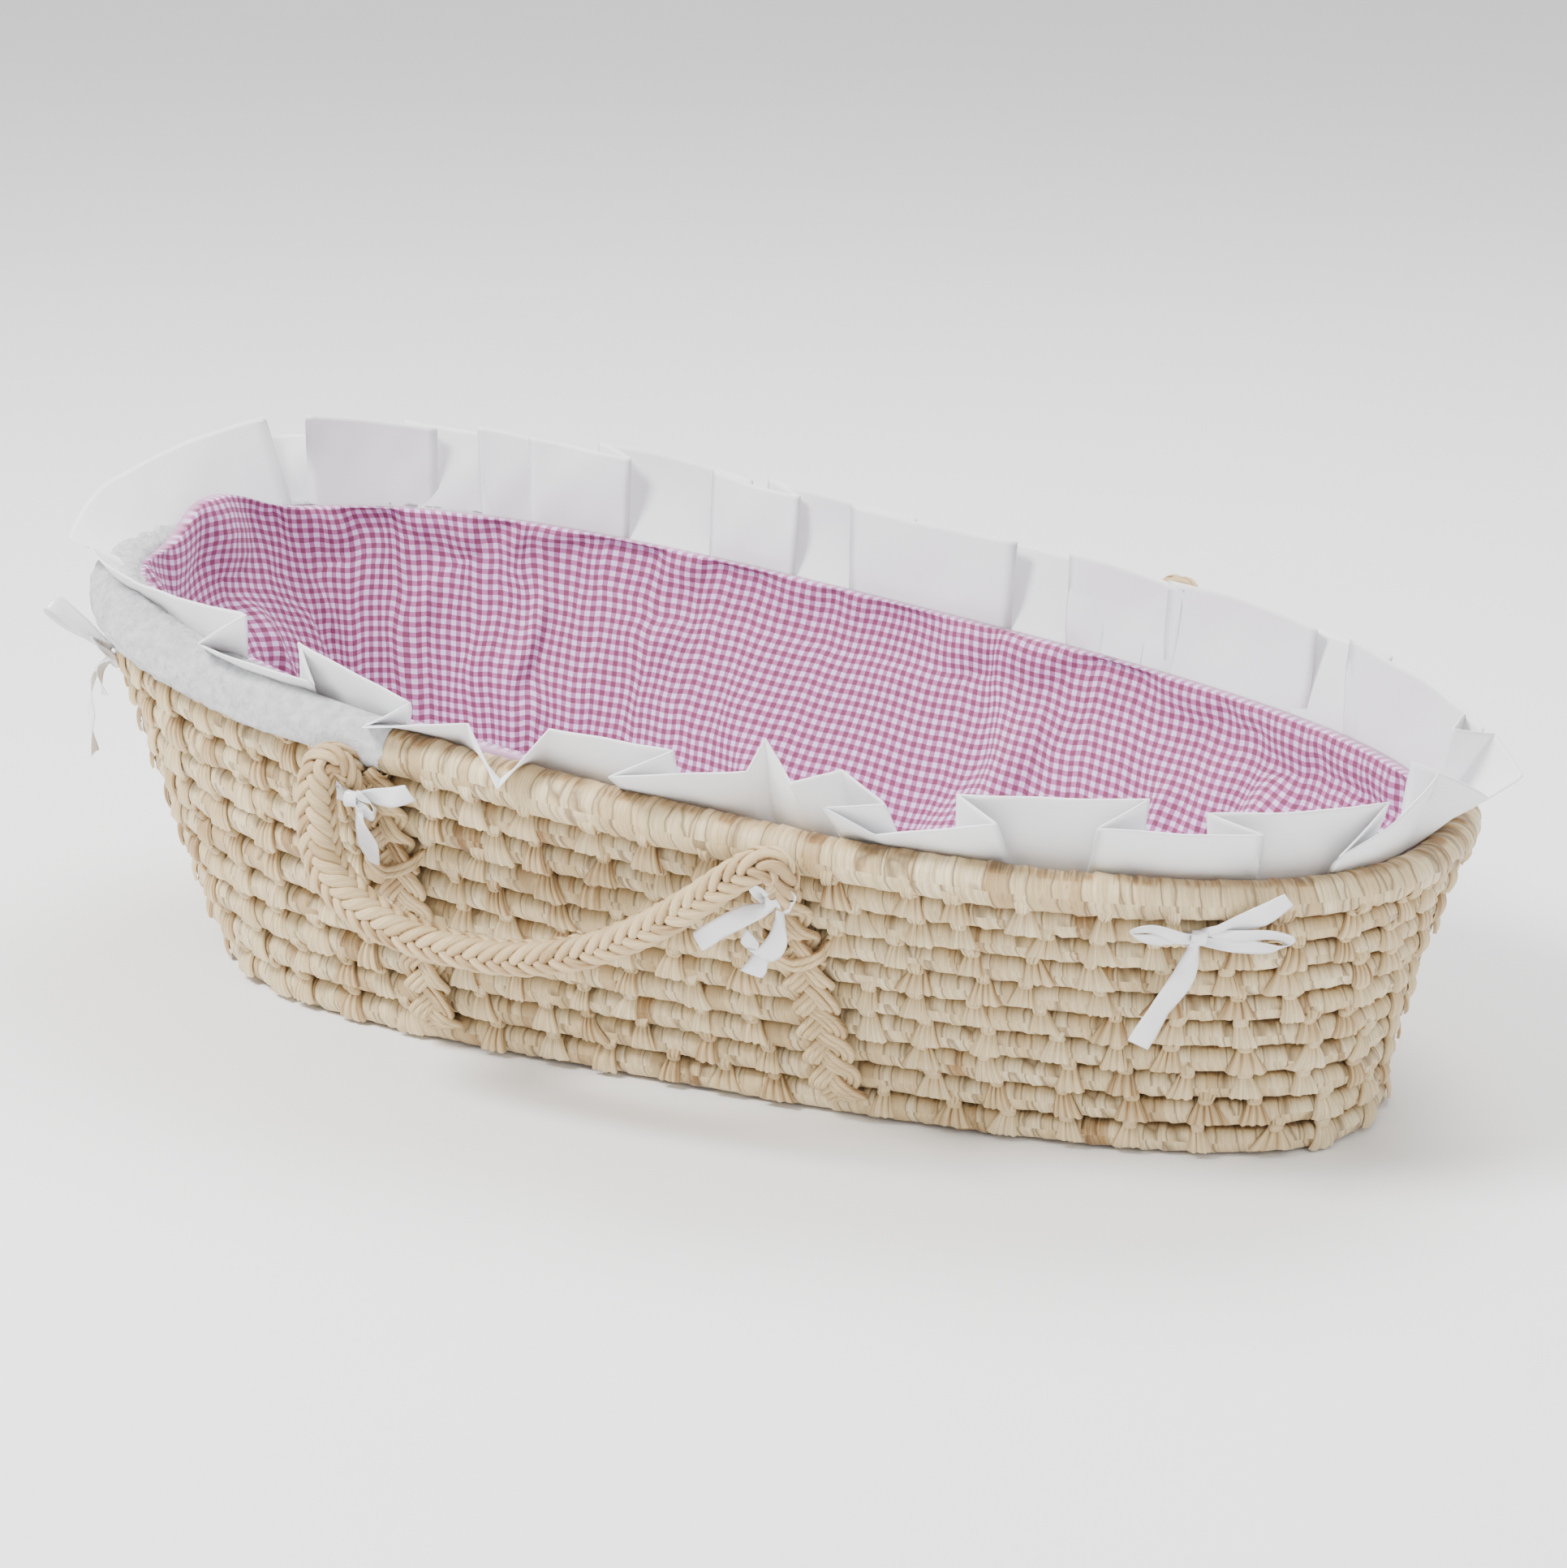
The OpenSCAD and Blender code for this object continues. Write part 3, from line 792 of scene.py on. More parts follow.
def strap_line(name, count=220):
    rim_deg, base_deg = STRAP_ANGLES[name]
    u = np.linspace(0.975, 0.0, count)
    t = np.radians(mix(base_deg, rim_deg, u))
    n = outward(t, u)
    points = wall_point(t, u)
    down = unit(np.gradient(points, axis=0))
    along = unit(np.stack([-n[:, 1], n[:, 0], np.zeros(count)], -1))
    out = unit(np.cross(down, along))
    out *= np.sign((out * n).sum(-1, keepdims=True))
    rows = u * (RIM_ROW + RIM_EXTRA)
    ride = 0.0014 * np.cos(TAU * rows)
    tuck = smooth(u, 0.0, 0.07)
    lift = mix(0.35 * coil_r(t), coil_r(t) + 0.0034 + ride, tuck)
    line = points + out * lift[:, None]
    line[:, 2] = np.maximum(line[:, 2], 0.0050 + 0 * u)
    return line, out, along


def strap_mesh(name, seed):
    rng = np.random.default_rng(seed)
    line, out, along = strap_line(name)
    s = distances(line)
    narrow = 0.72 + 0.28 * smooth(s, 0, 0.03)
    parts = Parts()
    for strand in range(3):
        phase = TAU * (s / STRAP_PERIOD + strand / 3)
        x = STRAP_REACH * np.sin(phase) * narrow
        y = STRAP_DEPTH * np.sin(2 * phase)
        centre = line + along * x[:, None] + out * y[:, None]
        tangent = unit(np.gradient(centre, axis=0))
        side = unit(np.cross(tangent, out))
        for cord in (-1, 0, 1):
            wander = 0.0004 * wave_noise(s / 0.012, seed * 9 + strand * 3 + cord, 2)
            raised = 0.0005 * (cord == 0) + wander * 0.6
            path = centre + side * (cord * 0.0033 + wander)[:, None] + out * raised[:, None]
            tube(parts, path, STRAP_CORD_R, STRAP_CORD_R, side, rng.uniform(0.3, 0.8), sides=9, twist=0.5)
    return parts.make(name + "_plait")


def lashing_mesh():
    """A doubled cord tied round each strap at about two thirds of its height."""
    parts = Parts()
    for name in STRAP_ANGLES:
        line, out, along = strap_line(name)
        middle = int(len(line) * 0.31)
        p, n, w = line[middle], out[middle], along[middle]
        down = unit(line[middle + 5] - line[middle - 5])
        for k, drop in enumerate((0.0, 0.0036)):
            f = np.linspace(-1, 1, 40)
            reach = 0.0185 * f
            bulge = 0.0062 * np.cos(f * math.pi / 2) ** 0.7 - 0.0075 * smooth(np.abs(f), 0.75, 1.0)
            sag = drop + 0.0035 * (1 - f ** 2) - 0.004 * np.abs(f)
            path = p + w * reach[:, None] + n * bulge[:, None] + down * sag[:, None]
            tube(parts, path, LASHING_R, LASHING_R, np.broadcast_to(down, path.shape), 0.5 + 0.2 * k,
                 sides=9, taper=0.05, twist=0.6)
    return parts.make("strap_lashing_cords")


def build_straps(braid):
    for i, name in enumerate(STRAP_ANGLES):
        place(strap_mesh(name, 60 + i), braid, "basket", "braid", name)
    place(lashing_mesh(), braid, "basket", "braid", "strap_lashings")


# ---- liner -----------------------------------------------------------------

LINER_FOLDS = [
    # angle and lean in degrees, width in degrees, depth in metres: the larger soft folds of the gingham
    (175, -10, 1.8, 0.011), (165, -14, 3.5, -0.008), (154, -24, 3.0, 0.013), (146, -12, 3.0, -0.011),
    (140, -3, 2.6, 0.012), (132, 4, 3.0, -0.009), (126, 8, 2.6, 0.012), (118, 12, 3.2, -0.008),
    (110, 9, 3.0, 0.010), (102, -6, 3.5, -0.007), (95, -9, 3.0, 0.010), (87, 4, 3.0, -0.007),
    (80, 9, 3.0, 0.010), (71, -7, 3.5, -0.008), (64, 3, 3.0, 0.009), (57, 10, 3.2, -0.007),
    (49, -9, 3.0, 0.010), (40, 6, 3.5, -0.008), (32, 10, 3.5, 0.010), (22, -9, 4.0, -0.006),
    (10, 4, 3.5, 0.008), (-8, 8, 4.0, -0.006), (-26, 5, 4.0, 0.009), (-44, -7, 4.0, -0.006),
    (-60, 6, 4.0, 0.009), (-78, -5, 4.0, -0.006), (-96, 6, 4.0, 0.009), (-115, 4, 4.0, -0.006),
    (-134, -5, 4.0, 0.009), (-152, 4, 4.0, -0.007), (-170, 3, 4.0, 0.008)]


# The end panel of the liner lies between two corner seams at these angles, and its weave runs askew.
LINER_CORNERS, END_SEAM_LEAN, END_WEAVE_SLOPE = (180, 228), 9, 0.0014


def liner_sides(t, level, inset):
    """Liner points from the floor (level 0) to the seam (level 1), inset into the basket."""
    low = beside(t, np.full_like(t, 0.05), -coil_r(t) - LINER_GAP - inset - 0.001, 0)
    low[..., 2] = BASE_MAT_H + 0.0006 + 0.4 * inset
    wall = beside(t, np.clip(0.05 + 0.91 * level, 0, 1), -coil_r(t) - LINER_GAP - inset, 0)
    degrees = np.degrees(np.mod(t, TAU))
    # At the head the cloth stands up in a corner, then reaches out over the band.
    corner = 0.019 * np.exp(-((degrees - 180) / mix(11, 7, degrees > 180)) ** 2)
    pulled = 0.010 * np.exp(-((degrees - 203) / 10) ** 2)
    top = beside(t, np.ones_like(t), -rim_r(t) - SEAM_IN - inset + pulled, SEAM_UP + corner + 0.4 * pulled)
    foot = (1 - smooth(level, 0.0, 0.10))[..., None]
    head = smooth(level, 0.86, 1.0)[..., None]
    return (wall * (1 - foot) + low * foot) * (1 - head) + top * head


def liner_folds(t, level):
    depth = np.zeros_like(t)
    for angle, lean, width, size in LINER_FOLDS:
        d = np.degrees(t) - angle - lean * (0.5 - level)
        d = (d + 180) % 360 - 180
        peak = 0.55 + 0.25 * math.sin(angle * 2.3)
        depth += size * np.exp(-(d / width) ** 2) * np.exp(-((level - peak) / 0.42) ** 2)
    gathers = wave_noise(t * 62, 811, 3) * 0.0011 * smooth(level, 0.35, 1.0) * (1 - smooth(level, 0.93, 1.0))
    dimples = wave_noise(t * 17 + 3 * level, 812, 3) * wave_noise(level * 7 + t * 2, 813, 2) * 0.003
    return depth + gathers + dimples * smooth(level, 0, 0.1) * (1 - smooth(level, 0.9, 1.0))


def settle(name, points, pinned, growth, closed, frames=20, most=0.015):
    """Lets cloth hang in folds: it grows between its pinned edges, and each point's move is capped."""
    rows, columns = points.shape[:2]
    obj = make_mesh(name, points, grid_faces(rows, columns, wrap_rows=closed))
    group = obj.vertex_groups.new(name="pin")
    for weight in np.unique(pinned):
        group.add(np.flatnonzero(pinned.ravel() == weight).tolist(), float(weight), "REPLACE")
    modifier = obj.modifiers.new("cloth", "CLOTH")
    cloth = modifier.settings
    cloth.quality = 6
    cloth.mass = 0.25
    cloth.tension_stiffness = cloth.compression_stiffness = 18
    cloth.shear_stiffness = 6
    cloth.bending_stiffness = 0.6
    cloth.air_damping = 3
    cloth.shrink_min = -growth
    cloth.effector_weights.gravity = 0
    cloth.vertex_group_mass = "pin"
    modifier.point_cache.frame_start = 1
    modifier.point_cache.frame_end = frames
    scene = bpy.context.scene
    for frame_number in range(1, frames + 1):
        scene.frame_set(frame_number)
    made = obj.evaluated_get(bpy.context.evaluated_depsgraph_get()).to_mesh()
    co = np.empty(len(made.vertices) * 3, np.float32)
    made.vertices.foreach_get("co", co)
    moved = co.reshape(points.shape) - points
    for _ in range(3):
        moved[:, 1:-1] = 0.5 * moved[:, 1:-1] + 0.25 * (moved[:, 2:] + moved[:, :-2])
        moved = 0.5 * moved + 0.25 * (np.roll(moved, 1, axis=0) + np.roll(moved, -1, axis=0))
    size = np.linalg.norm(moved, axis=-1, keepdims=True)
    mesh = obj.data
    bpy.data.objects.remove(obj)
    bpy.data.meshes.remove(mesh)
    scene.frame_set(1)
    return points + moved * np.minimum(1, most / (size + 1e-9))


def liner_mesh(columns=620, rows=46):
    """A closed padded shell: the gingham's inner face, the seam at the top, and the back of the liner."""
    t = np.linspace(0, TAU, columns, endpoint=False)[:, None]
    level = np.linspace(0, 1, rows)[None, :]
    t, level = np.broadcast_arrays(t, level)
    face = liner_sides(t, level, LINER_T)
    inward = -outward(t, level)
    face = face + inward * (liner_folds(t, level) * (1 - smooth(level, 0.93, 1.0)))[..., None]
    pinned = np.clip(1 - smooth(level, 0.03, 0.10) + smooth(level, 0.95, 0.99), 0, 1)
    face = settle("liner_cloth", face, np.round(pinned, 1), 0.16, closed=True)
    back = liner_sides(t, level, 0.0)
    depth = ((back - face) * outward(t, level)).sum(-1)
    face = face - outward(t, level) * np.clip(0.0025 - depth, 0, None)[..., None]
    shell = np.concatenate([face, back[:, ::-1]], axis=1)
    ring = Ring(0.55)
    u = np.interp(np.mod(t, TAU), ring.angles, ring.lengths) * 1.06
    steps = np.linalg.norm(np.diff(face, axis=1), axis=2)
    heights = np.concatenate([np.zeros((columns, 1)), np.cumsum(steps, axis=1)], 1)
    v = heights[:, -1:] - heights
    corner_back, corner_front = LINER_CORNERS
    inside = np.degrees(t) + END_SEAM_LEAN * (1 - level)
    panel = np.minimum(np.clip(inside - corner_back, 0, None), np.clip(corner_front - inside, 0, None))
    v = v + END_WEAVE_SLOPE * panel
    parts = Parts()
    lining = np.concatenate([np.zeros_like(u), np.ones_like(u)], 1)
    parts.grid(shell, np.concatenate([u, u[:, ::-1]], 1), np.concatenate([v, v[:, ::-1]], 1), lining,
               wrap_rows=True, wrap_columns=True, flip=True)
    return parts.make("gingham_liner")


CHECK_REPEAT = 0.0064


def gingham_material():
    """Woven check: dyed and white yarns cross at right angles, with a fine thread relief."""
    s = Shader("gingham_cotton", 0.85, sheen=0.10, subsurface=0.03)
    repeat = 1 / CHECK_REPEAT
    split = s.node("SeparateXYZ")
    s.join(s.uv(repeat, repeat), split.inputs[0])
    bands = []
    for axis in (0, 1):
        wobble = s.math("MULTIPLY", s.noise(s.uv(160, 160), 1.0, 2), 0.10)
        wave = s.math("FRACT", s.math("ADD", split.outputs[axis], wobble))
        distance = s.math("ABSOLUTE", s.math("SUBTRACT", wave, 0.5))
        bands.append(s.ramp(distance, (0.235, (1, 1, 1)), (0.265, (0, 0, 0))))
    both = s.math("MULTIPLY", bands[0], bands[1], clamp=True)
    either = s.math("MAXIMUM", bands[0], bands[1])
    colour = s.blend(either, (0.68, 0.55, 0.78), (0.41, 0.095, 0.30))
    colour = s.blend(both, colour, (0.17, 0.003, 0.06))
    lining = s.blend(s.attribute("tone"), colour, (0.50, 0.28, 0.42))
    slubs = s.noise(s.uv(2600, 260), 1.0, 2)
    s.colour(s.blend(s.math("MULTIPLY", slubs, 0.09), lining, (0.95, 0.90, 0.96)))
    threads = s.node("TexWave", wave_type="BANDS", bands_direction="X")
    threads.inputs["Scale"].default_value = 0.5
    s.join(s.uv(2200, 2200), threads.inputs["Vector"])
    first = s.bump(threads.outputs["Fac"], 0.0001, 0.4)
    s.bump(s.noise(s.uv(60, 22), 1.0, 3), 0.0022, 0.55, after=first)
    return s.material


# ---- frill -----------------------------------------------------------------

SEAM = Ring(1.0)


def frill_frame(s, out, up):
    """A point beside the liner's seam: s along the rim, out and up from the seam."""
    t = SEAM.angle(np.asarray(s))
    return beside(t, np.ones_like(t), -rim_r(t) - SEAM_IN - 0.0035 + out, SEAM_UP + np.asarray(up))


def frill_seam(s, level):
    """The stitched edge of the frill, on the outer side of the liner's top."""
    return frill_frame(s, 0.0052 + 0.5 * level, -0.004)


# Each fold of the frill, from the foot round the back to the head and home along the front: its angle on the
# seam, then how far its outer edge stands along, out and up from there, in millimetres.
FRILL_FOLDS = [
    (17, 0, 12, 50), (43, 2, 8, 53), (39.5, -1, 22, 46), (52, 1, 20, 47), (49.5, -1, 11, 50),
    (67.5, 2, 11, 52), (64.5, -2, 22, 47), (70, 1, 20, 48), (66.5, -2, 10, 49), (77.5, 0, 7, 54),
    (74, 0, 22, 47), (85.5, 2, 22, 47), (82.5, -1, 9, 52), (93.5, 2, 9, 50), (90, 0, 20, 48),
    (101, 2, 20, 51), (98, 0, 12, 47), (106, 2, 16, 50), (103, -1, 22, 47), (118, 2, 20, 53),
    (114.5, -1, 9, 49), (126, 0, 9, 52), (124.5, 1, 11, 50), (132, 2, 8, 54), (128.5, 0, 22, 47),
    (142, 2, 20, 51), (138, 0, 8, 50), (158.5, 2, 6, 56), (155, -1, 26, 40), (170, 2, 27, 42),
    (162, 6, 24, 53), (192, -4, 44, 33), (198, 6, 50, 18), (204, 12, 37, 24), (214, 26, 24, 22),
    (237, 26, 27, 41), (231, 32, 40, 19), (246, 20, 26, 16), (244, 22, 26, 36), (256, 18, 28, 24),
    (252, 25, 42, 9), (261, 20, 34, 24), (264, 19, 46, -2), (267, 14, 28, 30), (274.5, 3, 27, 34),
    (271, 10, 46, 20), (279.5, 2, 26, 31), (281, -2, 20, 48), (284, -8, 26, 30), (287, -4, 20, 39),
    (291, -6, 27, 28), (286, 1, 44, 27), (290.5, -6, 32, 13), (300, -4, 40, 31), (295, 4, 25, 38),
    (312, 2, 30, 47), (307, 4, 40, 34), (326, -10, 40, 33), (320, -8, 27, 40), (343, -12, 34, 42),
    (336, -15, 43, 21), (356, -18, 26, 46), (351, -4, 14, 50), (358, 6, 40, 24), (362.5, 4, 50, 30),
    (367, 4, 32, 44), (363, 4, 12, 50), (371, 2, 16, 49), (368, 0, 26, 46)]


def frill_mesh(across=22, along=14):
    """One strip of cotton that runs from fold to fold, back and forth, from its seam to its free edge."""
    rng = np.random.default_rng(29)
    folds = [(SEAM.at_angle(math.radians(t % 360)) + SEAM.length * (t >= 360), shift * MM, out * MM, up * MM)
             for t, shift, out, up in FRILL_FOLDS]
    first = folds[0]
    folds.append((first[0] + SEAM.length,) + first[1:])
    rows, cloth = [], []
    travelled = 0.0
    f = np.linspace(0, 1, along, endpoint=False)
    v = np.linspace(0, 1, across)[None, :, None]
    for i in range(len(folds) - 1):
        a, b = folds[i], folds[i + 1]
        ahead = 1 if b[0] > a[0] else -1
        places = mix(a[0], b[0], f)
        level = 0.0012 * ahead * (1 - 2 * f) * (-1 if a[2] < b[2] else 1)
        seam = frill_seam(places, level)
        soft = np.sin(f * math.pi)
        ends = [frill_frame(np.array([e[0] + e[1]]), e[2], e[3])[0] for e in (a, b)]
        wide = float(np.linalg.norm(ends[1] - ends[0]))
        bow = rng.uniform(-0.05, 0.05) * min(wide, 0.06)
        top = frill_frame(places + mix(a[1], b[1], f), mix(a[2], b[2], f) + bow * soft,
                          mix(a[3], b[3], f) + 0.4 * bow * soft)
        n = outward(SEAM.angle(places), np.ones_like(places))
        arch = np.sin(v * math.pi)
        at = places[:, None, None]
        belly = arch * (rng.uniform(-0.0034, 0.0038) * soft + rng.uniform(-0.0015, 0.0015))[:, None, None]
        pucker = 0.0009 * arch * np.exp(-v / 0.22) * wave_noise(at * 420, 17, 3)
        ripple = (0.0012 * v * wave_noise(at * 95 + i, 18, 2)
                  + 0.0014 * arch * wave_noise(at * 60 + 2.2 * v + i, 19, 3))
        flat = seam[:, None, :] * (1 - v) + top[:, None, :] * v
        rows.append(flat + n[:, None, :] * (belly + pucker + ripple))
        length = max(abs(b[0] - a[0]), wide, 0.010)
        cloth.append(travelled + length * f)
        travelled += length
    parts = Parts()
    depths = np.linspace(0, FRILL_DEPTH, across)[None, :]
    parts.grid(np.concatenate(rows), np.concatenate(cloth)[:, None], depths, wrap_rows=True)
    obj = parts.make("pleated_frill")
    obj["cloth_length"] = travelled
    return obj


def solidify(obj, thickness):
    modifier = obj.modifiers.new("thickness", "SOLIDIFY")
    modifier.thickness = thickness
    modifier.offset = 0


def cotton_material(name, colour, relief=0.35, sheen=0.3):
    s = Shader(name, 0.85, sheen=sheen, subsurface=0.06)
    weave = s.noise(s.uv(3000, 420), 1.0, 2)
    cross = s.noise(s.uv(420, 3000), 1.0, 2)
    threads = s.math("MULTIPLY", s.math("ADD", weave, cross), 0.5)
    soft = s.noise(s.uv(26, 26), 1.0, 3, 0.5)
    s.colour(s.blend(s.math("MULTIPLY", threads, 0.22), colour, tuple(0.93 * c for c in colour)))
    first = s.bump(threads, 0.00012, relief)
    s.bump(soft, 0.0012, 0.35, after=first)
    return s.material


def fleece_material():
    s = Shader("fleece_batting", 0.97, sheen=0.4, subsurface=0.05)
    fluff = s.noise(s.place(), 900.0, 5, 0.75)
    tufts = s.noise(s.place(), 150.0, 5, 0.65)
    # Painted shade: the fleece is darker in the hollows between its tufts, on the same noise that raises them
    # in the bump.
    raised = s.ramp(tufts, (0.32, (0, 0, 0)), (0.62, (1, 1, 1)))
    s.colour(s.blend(raised, (0.52, 0.525, 0.55), (0.76, 0.755, 0.76)))
    first = s.bump(fluff, 0.0010, 1.0)
    s.bump(tufts, 0.0030, 0.8, after=first)
    return s.material


def batting_mesh(count=1000, around=44):
    """The fleecy band that turns over the rim coil round the head end."""
    t = np.radians(np.linspace(113, 256.5, count))[:, None]
    arc = np.radians(np.linspace(150, -46, around))[None, :]
    t, arc = np.broadcast_arrays(t, arc)
    ends = np.minimum(smooth(np.degrees(t), 113, 115), 1 - 0.75 * smooth(np.degrees(t), 243.0, 248.5))
    ends = ends * (1 - smooth(np.degrees(t), 255.5, 256.5))
    lip = smooth(np.degrees(arc), -46, -30)
    hang = 0.6 * wave_noise(t * 30, 911, 3)
    fuzz = np.random.default_rng(7).normal(0, 0.00020, t.shape)
    thick = (0.0014 + 0.0024 * lip + 0.0007 * wave_noise(t * 70 + arc * 2, 912, 3)
             + 0.0006 * wave_noise(arc * 9 + t * 11, 913, 2) + fuzz) * ends + 0.0004
    arc_low = arc - (1 - lip) * 0.12 * hang
    r = rim_r(t)
    outer = beside(t, np.ones_like(t), (r + thick) * np.cos(arc_low), (r + thick) * np.sin(arc_low))
    inner = beside(t, np.ones_like(t), (r + 0.0002) * np.cos(arc_low), (r + 0.0002) * np.sin(arc_low))
    shell = np.concatenate([outer, inner[:, ::-1]], 1)
    parts = Parts()
    s = np.interp(np.mod(t, TAU), SEAM.angles, SEAM.lengths)
    round_rim = arc * RIM_COIL_MAX_R
    parts.grid(shell, np.concatenate([s, s[:, ::-1]], 1), np.concatenate([round_rim, round_rim[:, ::-1]], 1),
               wrap_columns=True)
    return parts.make("fleece_band")


# ---- mattress --------------------------------------------------------------

PAD_INSET, PAD_FLOOR, PAD_H = 0.028, BASE_MAT_H + 0.005, 0.028
SPINE_HEAD, SPINE_FOOT = -0.20, 0.20


def pad_outline(t, inset):
    return beside(t, np.zeros_like(t), -coil_r(t) - inset, 0)[..., :2]


def slab(name, grow, columns=360, wrinkle=0.0, hem=0.0, seed=5):
    """A soft slab inside the basket's floor outline: flat below, round at the edges, crowned on top.
    hem is the share of the way from its spine to its edge where its underside starts."""
    t = np.linspace(0, TAU, columns, endpoint=False)[:, None]
    edge = pad_outline(t, PAD_INSET)
    spine = edge.copy()
    spine[..., 1] = 0
    spine[..., 0] = np.clip(edge[..., 0], SPINE_HEAD, SPINE_FOOT)
    middle, half = PAD_FLOOR + PAD_H / 2, PAD_H / 2
    section = [(share, -1.0) for share in np.linspace(hem, 0.90, 8)]
    for a in np.radians(np.linspace(-78, 78, 13)):
        section.append((0.955 + 0.045 * math.cos(a), math.copysign(abs(math.sin(a)) ** 0.75, math.sin(a))))
    section += [(share, 1.0) for share in np.linspace(0.90, 0.0, 14)]
    share = np.array([p[0] for p in section])[None, :]
    height = np.array([p[1] for p in section])[None, :]
    plan = spine + (edge - spine) * share[..., None]
    crown = 0.0022 * (1 - share ** 2) * (height > 0.99)
    creases = wrinkle * wave_noise(t * 90, seed, 3) * np.exp(-((share - 1) / 0.10) ** 2)
    under = (height < -0.9) * smooth(share, 0.5, 0.9)
    gather = wrinkle * 1.5 * wave_noise(t * 60 + 6 * share, seed + 1, 3) * under
    upper = (height > 0.99) * smooth(share, 0.0, 0.4)
    drift = wrinkle * 0.8 * wave_noise(t * 7 + share * 5, seed + 2, 3) * upper
    z = middle + (half + grow) * height + crown + drift + gather
    outward_plan = unit(edge - spine)
    plan = plan + outward_plan * ((grow + creases) * smooth(share, 0.0, 0.3))[..., None]
    points = np.concatenate([plan, z[..., None] * np.ones_like(plan[..., :1])], -1)
    ring = RINGS[0]
    s = np.interp(t, ring.angles, ring.lengths)
    steps = np.concatenate([[0], np.cumsum(np.hypot(np.diff(share[0]) * 0.1, np.diff(height[0]) * half))])
    parts = Parts()
    parts.grid(points, s, steps[None, :], wrap_rows=True)
    return parts.make(name)


def build_bedding(gingham, cotton, fleece, foam):
    liner = place(liner_mesh(), gingham, "basket", "gingham", "liner")
    frill = place(frill_mesh(), cotton, "basket", "frill_cotton", "frill")
    solidify(frill, 0.0010)
    band = place(batting_mesh(), fleece, "basket", "fleece", "batting_band")
    pad = place(slab("mattress_foam", 0.0), foam, "mattress", "pad_foam", "mattress_pad")
    cover = slab("mattress_sheet", 0.0011, columns=720, wrinkle=0.0009, hem=0.62)
    sheet = place(cover, cotton, "mattress", "sheet_cotton", "fitted_sheet")


# ---- ribbon bows -----------------------------------------------------------

BOW_ROW = 8
RIBBON_W = 0.0115


def ribbon(parts, points, widths, count=60, width=RIBBON_W, pinch=(0.0, 0.0)):
    """A strip of ribbon along points (x along the wall, y out, z up); widths are its crosswise directions.
    pinch is how much each end is gathered in."""
    line = spline(np.asarray(points, float) * MM, count)
    across = unit(spline(widths, count))
    edge = np.linspace(-0.5, 0.5, 7)[None, :, None]
    share = np.linspace(0, 1, count)
    gathered = pinch[0] * np.exp(-(share / 0.16) ** 2) + pinch[1] * np.exp(-((1 - share) / 0.16) ** 2)
    full = 1 - gathered[:, None, None]
    cup = (np.linspace(-1, 1, 7) ** 2)[None, :, None] * (0.0007 + 0.0060 * (1 - full))
    tangent = unit(np.gradient(line, axis=0))
    normal = np.cross(tangent, across)
    grid = line[:, None, :] + across[:, None, :] * edge * width * full + normal[:, None, :] * cup
    s = distances(line)
    parts.grid(grid, s[:, None], edge[..., 0] * width)
    return float(s[-1])


def loop(length, rise_, side, lift=11):
    """A flat loop of ribbon beside the knot, open like a drop."""
    x = side * length
    path = [(side * 2, 3, 1), (0.35 * x, lift - 1, 0.3 * rise_ + 3), (0.75 * x, lift + 1, 0.8 * rise_ + 6),
            (x, lift - 2, rise_ + 2), (0.90 * x, 4, rise_ - 5), (0.45 * x, 2.5, 0.3 * rise_ - 4),
            (side * 2, 2.4, -1)]
    return path, [(0, 0.1, 1), (-0.2 * side, 0.3, 1), (0.1 * side, 0.7, 1), (0.5 * side, 1, 0.7),
                  (0.5 * side, 0.3, 1), (0.2 * side, 0.1, 1), (0, 0, 1)]


UPRIGHT_LOOP = ([(0, 3, 0), (-2, 12, 10), (-4, 24, 20), (-4, 30, 28), (1, 27, 30), (2, 14, 14), (0, 3, 1)],
                [(0, 1, -0.6), (0.1, 0.8, -0.8), (0.1, 0.7, -0.8), (0.2, 0.8, -0.7), (0, 0.7, -0.8),
                 (0, 0.8, -0.6), (0, 1, -0.6)])


def bow_mesh(name, angle, loops, tails, stand=0.0):
    """loops are (points, crosswise directions) and tails are lists of points, as in ribbon, in millimetres.
    stand is how far the whole bow stands out from the wall, in metres."""
    parts = Parts()
    total = 0.0
    for points, crosswise in loops:
        total += ribbon(parts, points, crosswise, pinch=(0.55, 0.55))
    for tail in tails:
        first, last = np.array(tail[0], float), np.array(tail[-1], float)
        direction = unit(last - first)
        cross = np.array([-direction[2], 0.25, direction[0]])
        wave = [cross + np.array([0, 0.5 * math.sin(2.2 * i), 0]) for i in range(len(tail))]
        total += ribbon(parts, tail, wave, pinch=(0.55, 0.0))
    turn = np.radians(np.linspace(-200, 200, 14))
    knot_path = [(3.4 * math.sin(0.2 * a), 3.4 + 3.1 * math.cos(a), 4.6 * math.sin(a)) for a in turn]
    total += ribbon(parts, knot_path, [(1, 0, 0.12)] * len(knot_path), 30, 0.0082)
    obj = parts.make(name)
    u = rise(BOW_ROW)
    t = math.radians(angle)
    n = outward(t, u)
    origin = beside(t, u, coil_r(t) + 0.0012 + stand, 0)
    along = np.array([-n[1], n[0], 0.0])
    base, top = wall_point(t, rise(BOW_ROW - 2)), wall_point(t, rise(BOW_ROW))
    level_up = unit(top - base)
    co = np.empty(len(obj.data.vertices) * 3, np.float32)
    obj.data.vertices.foreach_get("co", co)
    local = co.reshape(-1, 3)
    slope = unit(level_up * 0.6 + UP * 0.4)
    world = origin + along * local[:, :1] + n * local[:, 1:2] + slope * local[:, 2:3]
    obj.data.vertices.foreach_set("co", world.astype(np.float32).ravel())
    obj.data.update()
    solidify(obj, 0.0004)
    return obj, total


